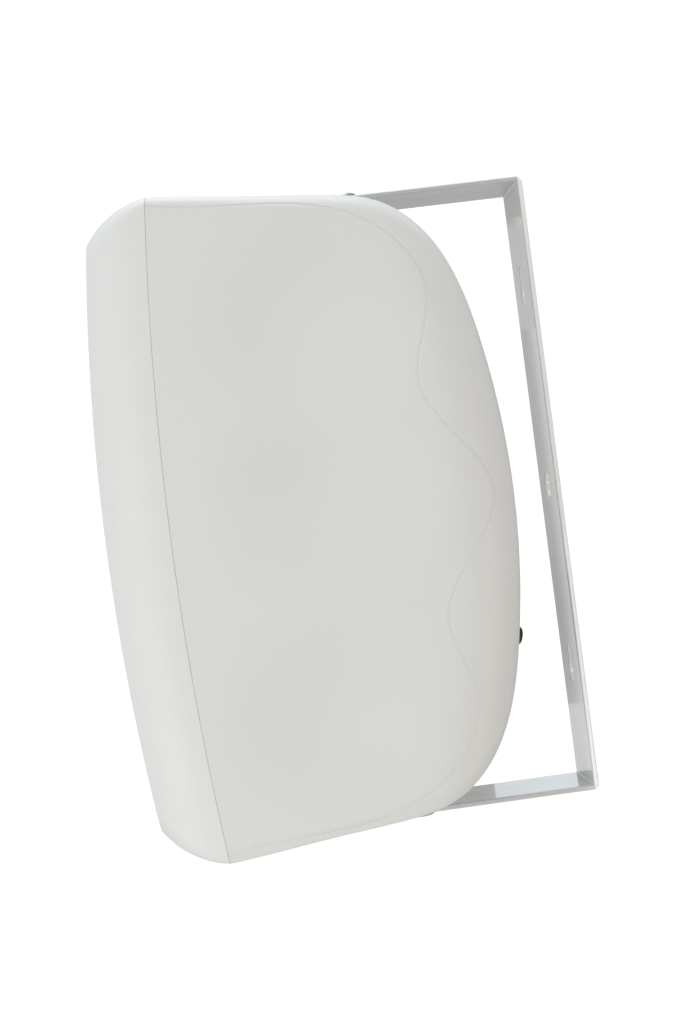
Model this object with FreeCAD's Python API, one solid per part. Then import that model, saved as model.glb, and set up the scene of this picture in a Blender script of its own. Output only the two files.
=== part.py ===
import FreeCAD, Part
import math
import os

from FreeCAD import Vector

# Two-way loudspeaker on a U-shaped wall bracket, in millimetres.
# +Z is up, the wall is the plane Y = 0 and the front looks along -Y.
# The origin is the middle of the bracket's back, on the wall.

# Wall bracket, bent from one flat steel strip
STRIP_WIDTH = 45.0
STRIP_THICKNESS = 2.5
ARM_CLEARANCE = 0.5
BEND_RADIUS = 0.6
STRIP_EDGE_ROUND = 0.8
STRIP_HOLE_ROUND = 0.5
PIVOT_FROM_WALL = 88.0
KEYHOLE_SPACING = 192.0
KEYHOLE_HEAD_DIAMETER = 10.0
KEYHOLE_SLOT_WIDTH = 5.5
KEYHOLE_RISE = 12.0
CENTRE_HOLE_DIAMETER = 13.0

# Pivot bolts, washers and threaded inserts
BOLT_DIAMETER = 8.0
BOLT_HEAD_DIAMETER = 16.0
BOLT_HEAD_HEIGHT = 3.0
BOLT_HEAD_ROUND = 1.8
BOLT_SOCKET_WIDTH = 5.0
BOLT_SOCKET_DEPTH = 2.0
BOLT_HOLE_CLEARANCE = 0.3
THREAD_CLEARANCE = 0.05
STEEL_WASHER_DIAMETER = 18.0
STEEL_WASHER_THICKNESS = 1.4
RUBBER_WASHER_DIAMETER = 30.0
RUBBER_WASHER_THICKNESS = 3.0
INSERT_DIAMETER = 12.0
INSERT_LENGTH = 14.0
INSERT_FLOOR = 3.0
PIVOT_BOSS_DIAMETER = 32.0

# Cabinet shell: tapered flanks, large rear corners and a crowned back
SEAM_BOW = 7.8
CABINET_DEPTH = 157.5
REAR_GAP = 23.0
FLANK_TAPER = 4.4
UPPER_CORNER_RADIUS = 60.0
UPPER_CROWN_RADIUS = 320.0
SIDE_CORNER_RADIUS = 40.0
SIDE_CROWN_RADIUS = 450.0
FRONT_EDGE_RADIUS = 4.5
REAR_EDGE_RADIUS = 26.0
SHELL_WALL = 3.0

# Contour groove on the side panels
GROOVE_SLOPE_WIDTH = 1.7
GROOVE_WALL_WIDTH = 0.2
GROOVE_DEPTH = 0.35
GROOVE_SECTIONS = 60
GROOVE_FROM_EDGE = 3.4
GROOVE_CREST_FROM_REAR = 17.0
GROOVE_TROUGH_FROM_REAR = 46.0
GROOVE_OUTER_CREST_FROM_REAR = 37.0
GROOVE_TROUGH_HEIGHT = 54.0
GROOVE_OUTER_CREST_HEIGHT = 96.0

# Front bezel with its baffle panel
BEZEL_DEPTH = 29.7
BEZEL_EDGE_DEPTH = 29.0
BEZEL_ROUND_RADIUS = 44.7
BEZEL_START_ANGLE = 5.5
BEZEL_FRONT_CORNER_RADIUS = 10.0
BAFFLE_RECESS = 15.5
BAFFLE_THICKNESS = 6.0
SIDE_RIM_WIDTH = 4.35
END_RIM_WIDTH = 3.85
SEAM_GAP = 0.25
GASKET_SETBACK = 0.12
TONGUE_CLEARANCE = 0.25
TONGUE_THICKNESS = 2.0
TONGUE_LENGTH = 6.0

# Perforated steel grille
GRILLE_CORNER_RADIUS = 8.0
GRILLE_THICKNESS = 1.2
GRILLE_SETBACK = 0.8
GRILLE_FLANGE = 5.0
GRILLE_CLEARANCE = 0.3
GRILLE_LEDGE = 2.5
GRILLE_HOLE_WIDTH = 12.0
GRILLE_HOLE_PITCH = 17.0
GRILLE_BLANK_RIM = 5.0

# Screws of the bezel, with their bosses
BEZEL_SCREW_DIAMETER = 4.0
BEZEL_SCREW_HEAD_DIAMETER = 8.0
BEZEL_SCREW_HEAD_HEIGHT = 3.0
BEZEL_SCREW_GRIP = 18.0
BEZEL_BOSS_DIAMETER = 11.0
BEZEL_BOSS_DEPTH = 26.0
BEZEL_RIB_THICKNESS = 3.0
BEZEL_SCREW_MARGIN = 5.5
BEZEL_SCREW_BELOW_PORT = 8.0
SCREW_CLEARANCE = 0.25

# Bass ports moulded with the baffle
PORT_MARGIN = 1.5
PORT_RISE = 5.0
PORT_RADIUS = 13.0
PORT_WALL = 2.0
PORT_LENGTH = 70.0
PORT_FLARE = 4.0

# Layout of the two drivers, which sets the width and height of the front
DRIVER_MARGIN = 4.0
DRIVER_SPACING = 6.0

# Woofer, depths measured back from the baffle's front
WOOFER_RADIUS = 77.0
WOOFER_FLANGE = 3.0
WOOFER_FRAME_SHEET = 1.6
WOOFER_FLANGE_WIDTH = 14.0
WOOFER_LEG_RUN = 15.0
WOOFER_LEDGE_WIDTH = 11.0
WOOFER_LEDGE_DEPTH = 33.0
WOOFER_NECK_DEPTH = 41.0
WOOFER_WINDOWS = 6
WOOFER_WINDOW_WIDTH = 34.0
WOOFER_CUTOUT_CLEARANCE = 1.0
SURROUND_ROLL_RADIUS = 4.5
SURROUND_GLUE_WIDTH = 5.0
SURROUND_SHEET = 0.8
CONE_LIP = 4.0
CONE_SHEET = 0.8
DUST_CAP_RADIUS = 21.0
DUST_CAP_RISE = 8.0
DUST_CAP_SHEET = 0.7
COIL_RADIUS = 12.5
COIL_FORMER = 0.4
COIL_WINDING = 0.4
COIL_WINDING_LENGTH = 10.0
COIL_GAP = 0.5
SPIDER_SHEET = 0.5
SPIDER_WAVE = 1.2
SPIDER_WAVES = 4
TOP_PLATE_RADIUS = 40.0
TOP_PLATE_THICKNESS = 5.0
MAGNET_RADIUS = 45.0
MAGNET_BORE_RADIUS = 21.0
MAGNET_THICKNESS = 14.0
BACK_PLATE_THICKNESS = 5.0
POLE_VENT_RADIUS = 4.0
WOOFER_SCREW_FROM_EDGE = 4.4
WOOFER_SCREW_DIAMETER = 3.6
WOOFER_SCREW_HEAD_DIAMETER = 7.2
WOOFER_SCREW_HEAD_HEIGHT = 2.2
WOOFER_SCREW_LENGTH = 9.0
WOOFER_RING_THICKNESS = 1.5
DRIVER_REBATE_CLEARANCE = 0.3

# Tweeter, depths measured back from the baffle's front
TWEETER_RADIUS = 47.0
TWEETER_PLATE_THICKNESS = 4.0
TWEETER_MOUTH_RADIUS = 26.0
TWEETER_THROAT_RADIUS = 17.0
DOME_RADIUS = 12.6
DOME_RISE = 4.6
DOME_SHEET = 0.35
DOME_ROLL_RADIUS = 1.75
DOME_GLUE_WIDTH = 4.4
TWEETER_COIL_LENGTH = 5.0
TWEETER_TOP_PLATE_RADIUS = 31.0
TWEETER_TOP_PLATE_THICKNESS = 3.5
TWEETER_MAGNET_RADIUS = 34.0
TWEETER_MAGNET_BORE_RADIUS = 16.5
TWEETER_MAGNET_THICKNESS = 9.0
TWEETER_BACK_PLATE_THICKNESS = 4.0
TWEETER_SCREW_FROM_EDGE = 5.5

# Crossover board behind the woofer
BOARD_Z = 58.0
BOARD_WIDTH = 100.0
BOARD_HEIGHT = 62.0
BOARD_THICKNESS = 1.6
BOARD_FROM_REAR = 32.0
BOARD_SCREW_INSET = 6.0
BOARD_SCREW_DIAMETER = 3.0
BOARD_SCREW_LENGTH = 9.0
STANDOFF_DIAMETER = 9.0
BOARD_AISLE = 8.0
BOARD_MARGIN = 4.0
LARGE_CHOKE_RADIUS = 17.0
LARGE_CHOKE_HEIGHT = 16.0
SMALL_CHOKE_RADIUS = 12.0
SMALL_CHOKE_HEIGHT = 13.0
CAPACITOR_RADIUS = 7.0
CAPACITOR_LENGTH = 30.0
RESISTOR_LENGTH = 22.0
RESISTOR_WIDTH = 8.0
RESISTOR_FROM_END = 12.0

# Terminal cup on the back
CUP_Z = -72.0
CUP_WIDTH = 84.0
CUP_HEIGHT = 60.0
CUP_CORNER_RADIUS = 9.0
CUP_FLANGE = 3.0
CUP_SEAT_DEPTH = 6.5
CUP_SEAT_WALL = 3.5
CUP_MARGIN = 9.0
CUP_DEPTH = 4.5
CUP_WALL = 2.0
CUP_CLEARANCE = 0.4
CUP_SCREW_INSET = 5.0
CUP_SCREW_DIAMETER = 3.0
CUP_SCREW_HEAD_DIAMETER = 6.0
CUP_SCREW_LENGTH = 5.5
POST_SPACING = 19.0
POST_STUD_RADIUS = 2.0
POST_COLLAR_RADIUS = 6.0
POST_COLLAR_HEIGHT = 4.0
THUMB_NUT_RADIUS = 5.0
THUMB_NUT_LENGTH = 14.2
THUMB_NUT_TIP_RADIUS = 3.0
THUMB_NUT_FLUTES = 12
THUMB_NUT_FLUTE_RADIUS = 0.7
STUD_INSIDE_LENGTH = 9.0
LOCK_NUT_WIDTH = 8.0
LOCK_NUT_HEIGHT = 3.2

# Damping pads on the inner side walls, and the inner leads
PAD_DEPTH = 18.0
PAD_FRONT_FROM_SEAM = 33.0
PAD_LENGTH = 65.0
PAD_HEIGHT = 200.0
PAD_CLEARANCE = 0.2
LEAD_DIAMETER = 2.2
LEAD_SLACK = 30.0
LEAD_TAIL = 20.0
TAG_BOARD_THICKNESS = 1.5

# Front layout: the grille frames the two drivers, and the seam lies outside the grille's rim
BEZEL_START = math.radians(BEZEL_START_ANGLE)


def bezel_inset(depth):
    """How far the bezel's rounded side has drawn in, at a depth in front of the seam."""
    run = depth + BEZEL_ROUND_RADIUS * math.sin(BEZEL_START)
    return BEZEL_ROUND_RADIUS * math.cos(BEZEL_START) - math.sqrt(BEZEL_ROUND_RADIUS ** 2 - run ** 2)


FRONT_EDGE_INSET = bezel_inset(BEZEL_EDGE_DEPTH)
GRILLE_WIDTH = 2 * (WOOFER_RADIUS + DRIVER_MARGIN)
GRILLE_HEIGHT = 2 * (WOOFER_RADIUS + TWEETER_RADIUS + DRIVER_MARGIN) + DRIVER_SPACING
SEAM_WIDTH = GRILLE_WIDTH + 2 * (SIDE_RIM_WIDTH + FRONT_EDGE_INSET)
SEAM_HEIGHT = GRILLE_HEIGHT + 2 * (END_RIM_WIDTH + FRONT_EDGE_INSET)
BRACKET_HEIGHT = SEAM_HEIGHT + 2 * (ARM_CLEARANCE + STRIP_THICKNESS)
WOOFER_Z = DRIVER_MARGIN + WOOFER_RADIUS - GRILLE_HEIGHT / 2
TWEETER_Z = GRILLE_HEIGHT / 2 - DRIVER_MARGIN - TWEETER_RADIUS
WELL_HALF_WIDTH = GRILLE_WIDTH / 2 - GRILLE_LEDGE
WELL_HALF_HEIGHT = GRILLE_HEIGHT / 2 - GRILLE_LEDGE
PORT_X = WELL_HALF_WIDTH - PORT_MARGIN - PORT_RADIUS - PORT_FLARE
PORT_Z = TWEETER_Z - TWEETER_RADIUS + PORT_RISE
BEZEL_SCREW_X = WELL_HALF_WIDTH - BEZEL_SCREW_MARGIN
BEZEL_SCREW_Z = WELL_HALF_HEIGHT - BEZEL_SCREW_MARGIN
BEZEL_SCREW_MIDDLE_Z = PORT_Z - PORT_RADIUS - PORT_FLARE - BEZEL_SCREW_BELOW_PORT
WOOFER_OPENING_RADIUS = WOOFER_RADIUS - WOOFER_FLANGE_WIDTH
WOOFER_LEDGE_RADIUS = WOOFER_OPENING_RADIUS - WOOFER_LEG_RUN
WOOFER_NECK_RADIUS = WOOFER_LEDGE_RADIUS - WOOFER_LEDGE_WIDTH
WOOFER_SCREW_CIRCLE = WOOFER_RADIUS - WOOFER_SCREW_FROM_EDGE
TWEETER_SCREW_CIRCLE = TWEETER_RADIUS - TWEETER_SCREW_FROM_EDGE
PAD_FACE_X = SEAM_WIDTH / 2 - PAD_DEPTH

# Places along the depth that follow from the sizes above
REAR_Y = -(STRIP_THICKNESS + REAR_GAP)
SEAM_Y = REAR_Y - CABINET_DEPTH
SEAM_MIDDLE_Y = SEAM_Y - SEAM_BOW
FRONT_Y = SEAM_MIDDLE_Y - BEZEL_DEPTH
BAFFLE_Y = FRONT_Y + BAFFLE_RECESS
BAFFLE_REAR_Y = BAFFLE_Y + BAFFLE_THICKNESS
PIVOT_Y = -PIVOT_FROM_WALL
ARM_INNER_Z = BRACKET_HEIGHT / 2 - STRIP_THICKNESS
BOSS_TOP_Z = ARM_INNER_Z - RUBBER_WASHER_THICKNESS
TAPER = math.radians(FLANK_TAPER)
FAR = 400.0
AXIS_X = Vector(1, 0, 0)
AXIS_Y = Vector(0, 1, 0)
AXIS_Z = Vector(0, 0, 1)
SIDES = (-1, 1)
CORNERS = ((-1, -1), (-1, 1), (1, -1), (1, 1))


def rod_y(radius, y0, y1, x=0.0, z=0.0):
    """Round rod along Y."""
    return Part.makeCylinder(radius, y1 - y0, Vector(x, y0, z), AXIS_Y)


def rod_z(radius, z0, z1, x=0.0, y=0.0):
    """Round rod along Z."""
    return Part.makeCylinder(radius, z1 - z0, Vector(x, y, z0), AXIS_Z)


def block(x0, x1, y0, y1, z0, z1):
    """Box between two corners."""
    return Part.makeBox(x1 - x0, y1 - y0, z1 - z0, Vector(x0, y0, z0))


def turned(profile, y0, z):
    """Solid turned about the Y axis at height z, from (radius, depth) points and arcs.

    A profile item with three numbers (radius, depth, through) marks an arc's middle point."""
    edges = []
    points = [item for item in profile] + [profile[0]]
    place = [Vector(item[0], y0 + item[1], z) for item in points]
    index = 0
    while index < len(points) - 1:
        if len(points[index + 1]) == 3:
            edges.append(Part.Arc(place[index], place[index + 1], place[index + 2]).toShape())
            index += 2
        else:
            edges.append(Part.makeLine(place[index], place[index + 1]))
            index += 1
    face = Part.Face(Part.Wire(edges))
    return face.revolve(Vector(0, 0, z), AXIS_Y, 360)


def ring(outer, inner, depth, thickness, y0, z):
    """Flat ring about the Y axis."""
    return rod_y(outer, y0 + depth, y0 + depth + thickness, 0, z).cut(
        rod_y(inner, y0 + depth, y0 + depth + thickness, 0, z))


def rounded_plate(half_width, half_height, radius, y0, y1):
    """Rectangular plate across Y with round corners."""
    plate = block(-half_width, half_width, y0, y1, -half_height, half_height)
    upright = [edge for edge in plate.Edges if abs(edge.BoundBox.YLength - (y1 - y0)) < 1e-6]
    return plate.makeFillet(radius, upright)


def hexagon(width, x, y, z0, z1):
    """Hexagonal bar along Z, given its width across flats."""
    corner = width / math.sqrt(3)
    points = [Vector(x + corner * math.cos(math.radians(a)), y + corner * math.sin(math.radians(a)), z0)
              for a in range(0, 361, 60)]
    return Part.Face(Part.makePolygon(points)).extrude(Vector(0, 0, z1 - z0))


def bow_radius(sagitta, half_chord):
    """Radius of an arc from its rise and half its chord."""
    return (half_chord ** 2 + sagitta ** 2) / (2 * sagitta)


SEAM_RADIUS = bow_radius(SEAM_BOW, SEAM_HEIGHT / 2)


FRONT_BOW = SEAM_BOW + BEZEL_DEPTH - BEZEL_EDGE_DEPTH
FRONT_RADIUS = bow_radius(FRONT_BOW, SEAM_HEIGHT / 2 - FRONT_EDGE_INSET)


def bowed_slab(front_y, front_radius, back_y, back_radius):
    """Space between two upright arcs that bulge forwards, across the whole width."""
    top = SEAM_HEIGHT / 2 + BEZEL_DEPTH

    def on_arc(y, radius, z):
        return Vector(-FAR / 2, y + radius - math.sqrt(radius ** 2 - z ** 2), z)

    front = [on_arc(front_y, front_radius, z) for z in (-top, 0, top)]
    back = [on_arc(back_y, back_radius, z) for z in (top, 0, -top)]
    edges = [Part.Arc(*front).toShape(), Part.makeLine(front[2], back[0]),
             Part.Arc(*back).toShape(), Part.makeLine(back[2], front[0])]
    return Part.Face(Part.Wire(edges)).extrude(Vector(FAR, 0, 0))


def seam_slab(front_offset, back_offset):
    """Slab that follows the seam, from one offset along Y to another."""
    return bowed_slab(SEAM_MIDDLE_Y + front_offset, SEAM_RADIUS, SEAM_MIDDLE_Y + back_offset, SEAM_RADIUS)


def front_slab(depth, thickness):
    """Slab parallel to the bowed front face."""
    return bowed_slab(FRONT_Y + depth, FRONT_RADIUS - depth,
                      FRONT_Y + depth + thickness, FRONT_RADIUS - depth - thickness)


def bowed_outline(edge_y, middle_y, half_width, half_height, radius):
    """Rounded rectangle whose upright sides bow from edge_y at the ends to middle_y at mid-height."""
    def place(x, z):
        return Vector(x, middle_y - (middle_y - edge_y) * (z / half_height) ** 2, z)

    def curve(points):
        spline = Part.BSplineCurve()
        spline.interpolate(Points=points, Parameters=[step / 4 for step in range(5)])
        return spline.toShape()

    def corner(side, end):
        turns = [math.pi / 2 * step / 4 for step in range(5)]
        points = [place(side * (half_width - radius + radius * math.cos(turn)),
                        end * (half_height - radius + radius * math.sin(turn))) for turn in turns]
        return points if side * end > 0 else points[::-1]

    def upright(side):
        points = [place(side * half_width, (half_height - radius) * step / 2) for step in range(-2, 3)]
        return points if side > 0 else points[::-1]

    flat = half_width - radius
    edges = [curve(upright(1)), curve(corner(1, 1)),
             Part.makeLine(place(flat, half_height), place(-flat, half_height)),
             curve(corner(-1, 1)), curve(upright(-1)), curve(corner(-1, -1)),
             Part.makeLine(place(-flat, -half_height), place(flat, -half_height)), curve(corner(1, -1))]
    return Part.Wire(edges)


def half_outline(seam_y, seam_half, start_y, rear_y, corner_radius, crown_radius):
    """Half of a cabinet outline as (y, half size) stations.

    A flank that tapers from the seam, an arc tangent to it, and a crown whose centre is on the axis."""
    crown_y = rear_y - crown_radius
    slope = math.tan(TAPER)
    rise = seam_half + seam_y * slope - corner_radius / math.cos(TAPER)
    half_sum = (crown_y + rise * slope) / (1 + slope ** 2)
    product = (crown_y ** 2 + rise ** 2 - (crown_radius - corner_radius) ** 2) / (1 + slope ** 2)
    corner_y = half_sum + math.sqrt(half_sum ** 2 - product)
    corner_half = rise - slope * corner_y
    first = math.pi / 2 - TAPER
    last = math.atan2(corner_half, corner_y - crown_y)
    end_y = corner_y + corner_radius * math.cos(first)
    stations = [(start_y, seam_half + (seam_y - start_y) * slope)]
    for share in (0.0, 0.35, 0.7):
        y = seam_y + (end_y - seam_y) * share
        stations.append((y, seam_half - (y - seam_y) * slope))
    for share in (0.0, 0.25, 0.5, 0.75, 1.0):
        turn = first + (last - first) * share
        stations.append((corner_y + corner_radius * math.cos(turn),
                         corner_half + corner_radius * math.sin(turn)))
    for share in (0.7, 0.42, 0.18, 0.05):
        turn = last * share
        stations.append((crown_y + crown_radius * math.cos(turn), crown_radius * math.sin(turn)))
    return stations


def cabinet_form(inset):
    """Solid form of the cabinet, drawn in by an inset all round; it runs on past the seam."""
    start_y = SEAM_MIDDLE_Y - CABINET_DEPTH / 4 - inset
    upper = half_outline(SEAM_Y, SEAM_HEIGHT / 2 - inset, start_y, REAR_Y - inset,
                         UPPER_CORNER_RADIUS - inset, UPPER_CROWN_RADIUS - inset)
    side = half_outline(SEAM_MIDDLE_Y, SEAM_WIDTH / 2 - inset, start_y, REAR_Y - inset,
                        SIDE_CORNER_RADIUS - inset, SIDE_CROWN_RADIUS - inset)
    growth = (0.0, 0.0, 0.03, 0.08, 0.18, 0.3, 0.48, 0.7, 1.0)
    rear_half = side[len(growth) - 1][1]
    outlines = []
    for index, ((edge_y, half_height), (middle_y, half_width)) in enumerate(zip(upper, side)):
        radius = REAR_EDGE_RADIUS * half_width / rear_half
        if index < len(growth):
            radius = FRONT_EDGE_RADIUS + (REAR_EDGE_RADIUS - FRONT_EDGE_RADIUS) * growth[index] - inset
        radius = max(radius, FRONT_EDGE_RADIUS / 4)
        if index == len(upper) - 1:
            edge_y = middle_y
        outlines.append(bowed_outline(edge_y, middle_y, half_width, half_height, radius))
    return Part.makeLoft(outlines, True, False, False, 3)


def bezel_form(inset):
    """Solid form of the bezel, drawn in by an inset all round; it runs on past the seam and the front."""
    def outline(edge_y, middle_y, drawn_in, radius):
        return bowed_outline(edge_y, middle_y, SEAM_WIDTH / 2 - drawn_in - inset,
                             SEAM_HEIGHT / 2 - drawn_in - inset, max(radius - inset, FRONT_EDGE_RADIUS / 4))

    behind = SEAM_Y + BEZEL_DEPTH
    ahead = FRONT_Y - BEZEL_DEPTH / 2
    outlines = [outline(behind, behind, 0.0, FRONT_EDGE_RADIUS)]
    for step in range(5):
        share = step / 4
        radius = FRONT_EDGE_RADIUS + (BEZEL_FRONT_CORNER_RADIUS - FRONT_EDGE_RADIUS) * share
        outlines.append(outline(SEAM_Y - BEZEL_EDGE_DEPTH * share, SEAM_MIDDLE_Y - BEZEL_DEPTH * share,
                                bezel_inset(BEZEL_EDGE_DEPTH * share), radius))
    outlines.append(outline(ahead, ahead, FRONT_EDGE_INSET + BEZEL_DEPTH / 2, BEZEL_FRONT_CORNER_RADIUS))
    return Part.makeLoft(outlines, True, False, False, 3)


def rear_surface_y(x, z):
    """Depth of the crowned back at a point."""
    upper = UPPER_CROWN_RADIUS - math.sqrt(UPPER_CROWN_RADIUS ** 2 - z ** 2)
    side = SIDE_CROWN_RADIUS - math.sqrt(SIDE_CROWN_RADIUS ** 2 - x ** 2)
    return REAR_Y - upper - side


def on_cup(shape):
    """Place a shape made about the origin, facing +Y, on the sloping back where the terminal cup sits."""
    slope = math.degrees(math.asin(CUP_Z / UPPER_CROWN_RADIUS))
    shape.rotate(Vector(0, 0, 0), AXIS_X, slope)
    shape.translate(Vector(0, rear_surface_y(0, CUP_Z), CUP_Z))
    return shape


def cup_point(x, y, z):
    """A point given in the terminal cup's own directions."""
    slope = math.asin(CUP_Z / UPPER_CROWN_RADIUS)
    return Vector(x, rear_surface_y(0, CUP_Z) + y * math.cos(slope) - z * math.sin(slope),
                  CUP_Z + y * math.sin(slope) + z * math.cos(slope))


CUP_FLOOR = -CUP_SEAT_DEPTH - CUP_DEPTH
BOARD_REAR_Y = REAR_Y - BOARD_FROM_REAR
BOARD_FRONT_Y = BOARD_REAR_Y - BOARD_THICKNESS
BOARD_SCREWS = [(side * (BOARD_WIDTH / 2 - BOARD_SCREW_INSET),
                 BOARD_Z + end * (BOARD_HEIGHT / 2 - BOARD_SCREW_INSET)) for side, end in CORNERS]
CUP_SCREWS = [(side * (CUP_WIDTH / 2 - CUP_SCREW_INSET), end * (CUP_HEIGHT / 2 - CUP_SCREW_INSET))
              for side, end in CORNERS]
BEZEL_SCREWS = [(side * BEZEL_SCREW_X, end * BEZEL_SCREW_Z) for side, end in CORNERS]
BEZEL_SCREWS += [(side * BEZEL_SCREW_X, BEZEL_SCREW_MIDDLE_Z) for side in SIDES]
BEZEL_BOSS_Y = SEAM_MIDDLE_Y + TONGUE_LENGTH
BEZEL_SCREW_TIP_Y = BEZEL_BOSS_Y + BEZEL_SCREW_GRIP


def screw_circle(radius, z):
    """Four places on a circle, turned by half a step."""
    reach = radius * math.sqrt(0.5)
    return [(side * reach, z + end * reach) for side, end in CORNERS]


WOOFER_SCREWS = screw_circle(WOOFER_SCREW_CIRCLE, WOOFER_Z)
TWEETER_SCREWS = screw_circle(TWEETER_SCREW_CIRCLE, TWEETER_Z)


def bracket():
    """U-bracket: a strip with two square bends.

    Its back has two keyholes and a centre hole, and each arm a bolt hole."""
    half = BRACKET_HEIGHT / 2
    arm_end = PIVOT_Y - STRIP_WIDTH / 2
    outer = block(-STRIP_WIDTH / 2, STRIP_WIDTH / 2, arm_end, 0, -half, half)
    bends = [edge for edge in outer.Edges
             if edge.BoundBox.YMin > -1e-6 and edge.BoundBox.ZLength < 1e-6]
    outer = outer.makeFillet(BEND_RADIUS + STRIP_THICKNESS, bends)
    inner_half = half - STRIP_THICKNESS
    inner = block(-STRIP_WIDTH, STRIP_WIDTH, arm_end - STRIP_WIDTH, -STRIP_THICKNESS, -inner_half, inner_half)
    folds = [edge for edge in inner.Edges
             if edge.BoundBox.YMin > -STRIP_THICKNESS - 1e-6 and edge.BoundBox.ZLength < 1e-6]
    strip = outer.cut(inner.makeFillet(BEND_RADIUS, folds))
    tips = [edge for edge in strip.Edges
            if edge.BoundBox.YMax < arm_end + 1e-6 and edge.BoundBox.ZLength > STRIP_THICKNESS / 2]
    strip = strip.makeFillet(STRIP_WIDTH / 3, tips)
    outline = [edge for edge in strip.Edges
               if edge.BoundBox.XLength < STRIP_WIDTH / 2
               and edge.BoundBox.DiagonalLength > STRIP_THICKNESS + 1e-3]
    strip = strip.makeFillet(STRIP_EDGE_ROUND, outline)
    bolt_hole = BOLT_DIAMETER / 2 + BOLT_HOLE_CLEARANCE
    holes = [rod_z(bolt_hole, -FAR, FAR, 0, PIVOT_Y),
             rod_y(CENTRE_HOLE_DIAMETER / 2, -STRIP_THICKNESS, 0)]
    for end in SIDES:
        z = end * KEYHOLE_SPACING / 2
        slot = KEYHOLE_SLOT_WIDTH / 2
        holes.append(rod_y(KEYHOLE_HEAD_DIAMETER / 2, -STRIP_THICKNESS, 0, 0, z))
        holes.append(rod_y(slot, -STRIP_THICKNESS, 0, 0, z + KEYHOLE_RISE))
        holes.append(block(-slot, slot, -STRIP_THICKNESS, 0, z, z + KEYHOLE_RISE))
    strip = strip.cut(holes)
    back = max((face for face in strip.Faces if face.BoundBox.YMax < -STRIP_THICKNESS + 1e-3),
               key=lambda face: face.BoundBox.ZLength * (face.BoundBox.YLength < 1e-3))
    rims = [edge for wire in back.Wires if wire.BoundBox.XLength < STRIP_WIDTH / 2 for edge in wire.Edges]
    return strip.makeFillet(STRIP_HOLE_ROUND, rims)


def contour_line():
    """Wavy line of the side panels, seen from the side, from the seam's top to its foot."""
    top = SEAM_HEIGHT / 2 - GROOVE_FROM_EDGE
    slope = math.tan(TAPER)
    crest = REAR_Y - GROOVE_CREST_FROM_REAR
    trough = REAR_Y - GROOVE_TROUGH_FROM_REAR
    outer_crest = REAR_Y - GROOVE_OUTER_CREST_FROM_REAR
    turn_y = outer_crest - UPPER_CORNER_RADIUS / 2
    turn_z = top - (turn_y - SEAM_Y) * slope - 2 * GROOVE_FROM_EDGE
    upper = [(SEAM_Y - SEAM_BOW, top + SEAM_BOW * slope),
             ((SEAM_Y + turn_y) / 2, top - (turn_y - SEAM_Y) / 2 * slope - GROOVE_FROM_EDGE / 2),
             (turn_y, turn_z),
             (outer_crest - UPPER_CORNER_RADIUS / 8, (turn_z + GROOVE_OUTER_CREST_HEIGHT) / 2),
             (outer_crest, GROOVE_OUTER_CREST_HEIGHT),
             (trough, GROOVE_TROUGH_HEIGHT),
             ((trough + crest) / 2, GROOVE_TROUGH_HEIGHT / 2)]
    points = upper + [(crest, 0.0)] + [(y, -z) for y, z in upper[::-1]]
    line = Part.BSplineCurve()
    line.interpolate([Vector(0, y, z) for y, z in points])
    return line.toShape()


def panel_step(form):
    """Wedge that cuts the step round the raised side panel.

    It slopes down away from the panel and ends at a steep wall."""
    path = contour_line()
    half = GROOVE_SLOPE_WIDTH / 2
    corners = ((-half, 0.0), (half, -GROOVE_DEPTH), (half + GROOVE_WALL_WIDTH, 0.0))
    wires = []
    for step in range(GROOVE_SECTIONS + 1):
        where = path.FirstParameter + (path.LastParameter - path.FirstParameter) * step / GROOVE_SECTIONS
        along = path.tangentAt(where)
        outward = Vector(0, -along.z, along.y)
        places = []
        for shift, rise in corners:
            place = path.valueAt(where) + outward * shift
            ray = Part.makeLine(place, place + Vector(SEAM_WIDTH, 0, 0))
            places.append(place + Vector(ray.common(form).BoundBox.XMax + rise, 0, 0))
        slope_top = places[0] + (places[0] - places[1])
        wall_top = places[2] + (places[2] - places[1])
        wires.append(Part.makePolygon([slope_top, places[1], wall_top, slope_top]))
    return Part.makeLoft(wires, True, False)


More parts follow.
